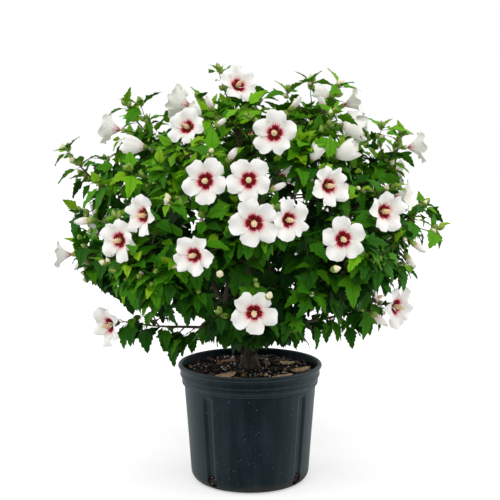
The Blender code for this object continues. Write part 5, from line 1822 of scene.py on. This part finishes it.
def add_calyx(shape, throat, size, open_out):
    """A cup with five pointed sepals, and a thin ring of bracts under it. It faces +Z."""
    foot = throat - 0.38 * size
    shape.add_skin([ring_z(r * size, foot + h * 0.5 * size, CUP_SIDES) for r, h in CUP], SEPAL)
    sepal_turns = [radians(72) * i + 0.3 for i in range(5)]
    path = (0.17, open_out, 0.26, 0.42)
    add_blades(shape, sepal_turns, size, foot, path, SEPAL_WIDTHS, SEPAL_LIGHT, keel=0.03)
    add_blades(shape, turns(BRACTS), size, foot, (0.10, 0.22, 0.02, 0.26), BRACT_WIDTHS, SEPAL)


def open_bloom(kind, depth, open_wide, crinkle, seed):
    shape = Shape()
    bands = TRUMPET_EYE if kind == "trumpet" else EYE
    steps = [c / PETAL_COLUMNS * 2 - 1 for c in range(PETAL_COLUMNS + 1)]
    for petal in range(PETALS):
        rows = [[petal_point(petal, out, s, depth, open_wide, crinkle, seed) for s in steps]
                for out in PETAL_ROWS]
        shape.add_sheet(rows, lambda row, column: eye_tint(row, column, bands))
    add_column(shape, THROAT - depth + 0.02, 0.50 + depth * 0.25, seed)
    add_calyx(shape, 0.38 * CALYX_SIZE - CALYX_BACK[kind], CALYX_SIZE, 0.10)
    return shape.parts()


# kind: depth, width, crinkle and seed of its two shapes.
OPEN_FORMS = {
    "wide": [(0.42, 1.0, 0.075, 1.3), (0.50, 1.0, 0.090, 4.1)],
    "cup": [(0.60, 1.0, 0.070, 7.7), (0.66, 0.97, 0.080, 9.2)],
    "trumpet": [(1.20, 1.0, 0.06, 12.4), (1.26, 0.96, 0.07, 15.8)],
}
OPEN_SHAPES = {kind: [open_bloom(kind, *form) for form in forms] for kind, forms in OPEN_FORMS.items()}
print("faces of an open bloom:", len(OPEN_SHAPES["wide"][0][1]))

# %% [markdown]
# ## Furled blooms and buds
# A bloom that opens tomorrow is a rolled cone of petals, one that closed yesterday is rolled tighter,
# and a bud is an egg of petals in its calyx. All are turned round the Y axis from a few rings. A
# twist of the rings shows the roll, and lobes on the rim show the petals' ends.

# %% Furled blooms and buds
# Height and radius along blooms and buds of length 1.
GOBLET = [(.10, .07), (.18, .13), (.30, .21), (.45, .30), (.62, .36), (.80, .385), (.93, .37), (1, .33)]
GOBLET_INSIDE = [(.20, .06), (.40, .10), (.64, .18), (.92, .26)]
SPIRE = [(.10, .07), (.24, .12), (.40, .16), (.58, .175), (.74, .155), (.88, .11), (.97, .06), (1, .01)]
EGG = [(0, .08), (.20, .28), (.48, .33), (.76, .22), (1, .02)]
FURLED_SIDES, BUD_SIDES = 15, 6


def furled(profile, lobes, roll, tints):
    """A sheet of rings along +Y, with lobes that grow and turn towards the rim."""
    rings = []
    for height, radius in profile:
        ring = []
        for turn in turns(FURLED_SIDES):
            folds = lobes * height * cos(5 * turn + roll * height)
            reach = radius * (1 + folds)
            ring.append((reach * cos(turn), height + 0.5 * folds * height, -reach * sin(turn)))
        rings.append(ring)
    shape = Shape()
    shape.add_sheet(rings, lambda row, column: tints[row], closed=True)
    return shape


def add_cup(shape, size, reach):
    """A calyx along +Y that holds the foot of a furled bloom."""
    calyx = Shape()
    add_calyx(calyx, 0.38 * size, size, reach)
    shape.add(calyx, lambda point: Vector((point.x, point.z, -point.y)))


def goblet(seed):
    # Most of the rolled petals are white with a stronger painted glow.
    shape = furled(GOBLET, 0.15, 2.5 + seed, [ROSE, BLUSH] + [PAINTED_GLOW_WHITE] * 5)
    shape.add(furled(GOBLET_INSIDE, 0.2, 4.0 + seed, [BLUSH, WHITE_WARM, WHITE_WARM]))
    add_cup(shape, 0.62, 0.16)
    return shape.parts()


def spire_bloom(seed):
    # Rose and blush at the foot, and near the rim white with a stronger painted glow.
    tints = [ROSE, BLUSH, BLUSH, WHITE_WARM, PAINTED_GLOW_WHITE, WHITE_WARM, BLUSH]
    shape = furled(SPIRE, 0.12, 7 + seed, tints)
    add_cup(shape, 0.72, 0.05)
    return shape.parts()


def bud(petal_share, seed):
    """A bud: the calyx's egg, with as much of the petals' tip as the share says."""
    def tint(row, column):
        return PALE_CREAM if row / 3 > 1 - petal_share else SEPAL + column % 2

    rings = []
    for height, radius in EGG:
        ring = []
        for x, y, z in ring_y(radius, height, BUD_SIDES):
            ridge = 1 + 0.06 * cos(3 * math.atan2(z, x) + seed + height)
            ring.append((x * ridge, y, z * ridge))
        rings.append(ring)
    shape = Shape()
    shape.add_skin(rings, tint)
    for turn in turns(5):
        way = Vector((cos(turn), 0, sin(turn)))
        side = Vector((sin(turn), 0, -cos(turn)))
        spots = [way * 0.10, way * 0.44 + Vector((0, 0.50, 0))]
        rows = [[spot - side * w, spot + side * w] for spot, w in zip(spots, (0.045, 0.008))]
        shape.add_sheet(rows, SEPAL)
    return shape.parts()


FURLED_SHAPES = {"goblet": [goblet(0), goblet(2)], "spire": [spire_bloom(0), spire_bloom(3)]}
BUD_SHAPES = [bud(0.0, 0), bud(0.0, 2), bud(0.45, 1)]
print("faces of a bud:", [len(faces) for _, faces, _, _ in BUD_SHAPES])

# %% [markdown]
# ## Blossom on the shrub
# Petals are thin and crepe-like: fine ribs run along each from its foot. A faint glow of their own
# is painted light that stands in for the light that comes through them, strongest on the rolled
# petals of furled blooms and the rims of trumpets. Each kind of bloom picks one of two shapes, and
# no two blooms on the shrub are turned the same way round their stalks. Buds stand among the young
# leaves of each star, and in the axils of the upper leaves.

# %% Blossom on the shrub
def petal_ribs(nodes, place):
    spot = nodes.add("ShaderNodeUVMap", {"uv_map": "UVMap"})
    ribs = nodes.noise(nodes.stretched(spot, (26, 2.2, 1)), 1.0, 3)
    crepe = nodes.noise(place, 420, 3)
    return {"Normal": relief(nodes, ribs * 0.7 + crepe * 0.3, 0.0019)}


def smooth_skin(nodes, place):
    return {"Normal": relief(nodes, nodes.noise(place, 800, 3), 0.0005)}


DULL, SATIN = {"Specular_IOR_Level": 0.1}, {"Specular_IOR_Level": 0.2}
PAINTED_GLOW = {"Emission_Color": (1.0, 0.98, 0.93), "Emission_Strength": 0.11}  # a painted glow that stands in for light that comes through the petal
# A stronger painted glow, painted light for petals that turn away from the lamps.
STRONG_PAINTED_GLOW = {"Emission_Color": (1.0, 0.97, 0.90), "Emission_Strength": 0.24}
# Name, colour, roughness and more, in the order of the tints.
BLOOM_PAINTS = [
    ("petal_deep", (0.120, 0.002, 0.005), 0.6, DULL),
    ("petal_crimson", (0.250, 0.005, 0.012), 0.6, DULL),
    ("petal_rose", (0.72, 0.190, 0.260), 0.6, SATIN),
    ("petal_blush", (0.78, 0.58, 0.56), 0.65, PAINTED_GLOW),
    ("petal_white", (0.78, 0.775, 0.75), 0.7, PAINTED_GLOW),
    ("petal_warm", (0.78, 0.76, 0.71), 0.7, PAINTED_GLOW),
    ("column_cream", (0.86, 0.62, 0.34), 0.6, {}),
    ("pollen", (0.92, 0.72, 0.42), 0.8, {}),
    ("pale_cream", (0.84, 0.77, 0.53), 0.7, {}),
    ("sepal_green", (0.150, 0.260, 0.030), 0.55, {}),
    ("sepal_light", (0.290, 0.400, 0.060), 0.55, {}),
    # White with the stronger painted glow, for rolled petals and trumpet rims.
    ("petal_lit", (0.67, 0.66, 0.61), 0.7, STRONG_PAINTED_GLOW),
]
PALE_BUDS = [((-52, -299, 446), 10, 30), ((29, -290, 404), 30, 50), ((136, -280, 453), 70, 15)]
BUDS_OUT, BUDS_ABOVE = 0.80, 340  # a share of the crown, and a height
SPIRE_AXILS, AXIL_CHANCE, AXIL_REACH = 3, 0.45, (0.55, 0.92)
STAR_BUD_SIZES, AXIL_BUD_SIZES, PALE_BUD_SIZE = (13, 19), (12, 18), 20


def bloom_places():
    opened, rolled = [], []
    for number, bloom in enumerate(blooms):
        side = Matrix.Rotation(number * GOLDEN_TURN, 3, bloom.way) @ perpendicular(bloom.way)
        kinds = OPEN_SHAPES if bloom.open_wide else FURLED_SHAPES
        kind = list(kinds).index(bloom.kind) * 2 + number % 2
        if bloom.open_wide:
            opened.append((bloom.place, side, bloom.way, bloom.size / 2, kind))
        else:
            rolled.append((bloom.place, bloom.way, side, bloom.size, kind))
    return opened, rolled


def buds_of(twig):
    """Buds in the star of a shoot or spire, and in the axils below, most of all on spires."""
    chance = random.Random(f"{twig.seed} buds")
    place, way, side = along(twig.line, 1.0)
    outer = crown_share(place) > BUDS_OUT and place.z > BUDS_ABOVE
    if twig.rank in (0, 1) and (outer or twig.spire):
        for i in range(2 if twig.spire else chance.choice((0, 1, 2))):
            side = Matrix.Rotation(GOLDEN_TURN, 3, way) @ side
            lean = (way + side * (0.15 + 0.55 * i) + UP * 0.25).normalized()
            foot = place - way * 5 * i + lean * 2
            yield foot, lean, side, chance.uniform(*STAR_BUD_SIZES), chance.choice((0, 1, 0, 1, 2))
    axils = SPIRE_AXILS
    if not twig.spire:
        axils = int(twig.rank in (1, 3) and outer and chance.random() < AXIL_CHANCE)
    for i in range(axils):
        spot, way, side = along(twig.line, chance.uniform(*AXIL_REACH))
        lean = (way + Matrix.Rotation(i * GOLDEN_TURN, 3, way) @ side * 0.9).normalized()
        yield spot, lean, way.cross(lean), chance.uniform(*AXIL_BUD_SIZES), chance.choice((0, 1, 2))


def bud_places():
    found = [place for twig in twigs for place in buds_of(twig)]
    for place, turn, tilt in PALE_BUDS:
        way = facing(turn, tilt)
        found.append((Vector(place), way, perpendicular(way), PALE_BUD_SIZE, 2))
    return [bud for bud in found if not hides_bloom(bud[0] + bud[1] * bud[3])]


bloom_surfaces = [surface(name, petal_ribs if name.startswith("petal") else smooth_skin,
                          Base_Color=colour, Roughness=rough, **more)
                  for name, colour, rough, more in BLOOM_PAINTS]
opened, rolled = bloom_places()
open_shapes = [shape for pair in OPEN_SHAPES.values() for shape in pair]
furled_shapes = [shape for pair in FURLED_SHAPES.values() for shape in pair]
for name, slot, places, shapes in (("blossom", "petal", opened, open_shapes),
                                   ("half_open_blossom", "petal", rolled, furled_shapes),
                                   ("buds", "foliage", bud_places(), BUD_SHAPES)):
    hand_over(deal(name, places, shapes, bloom_surfaces, dealt=False, seed=3), slot, *foliage_solids)

# %% [markdown]
# ## Sizes and the finished scene
# The box of the solids and the box of what is seen are gathered, and the box of what is seen is
# printed.

# %% Sizes and the finished scene
seen_low, seen_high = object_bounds()
sizes = {"cad": [list(cad_low), list(cad_high)], "visual": [list(seen_low), list(seen_high)]}
print("visual box:", [round(c, 4) for c in (*seen_low, *seen_high)])
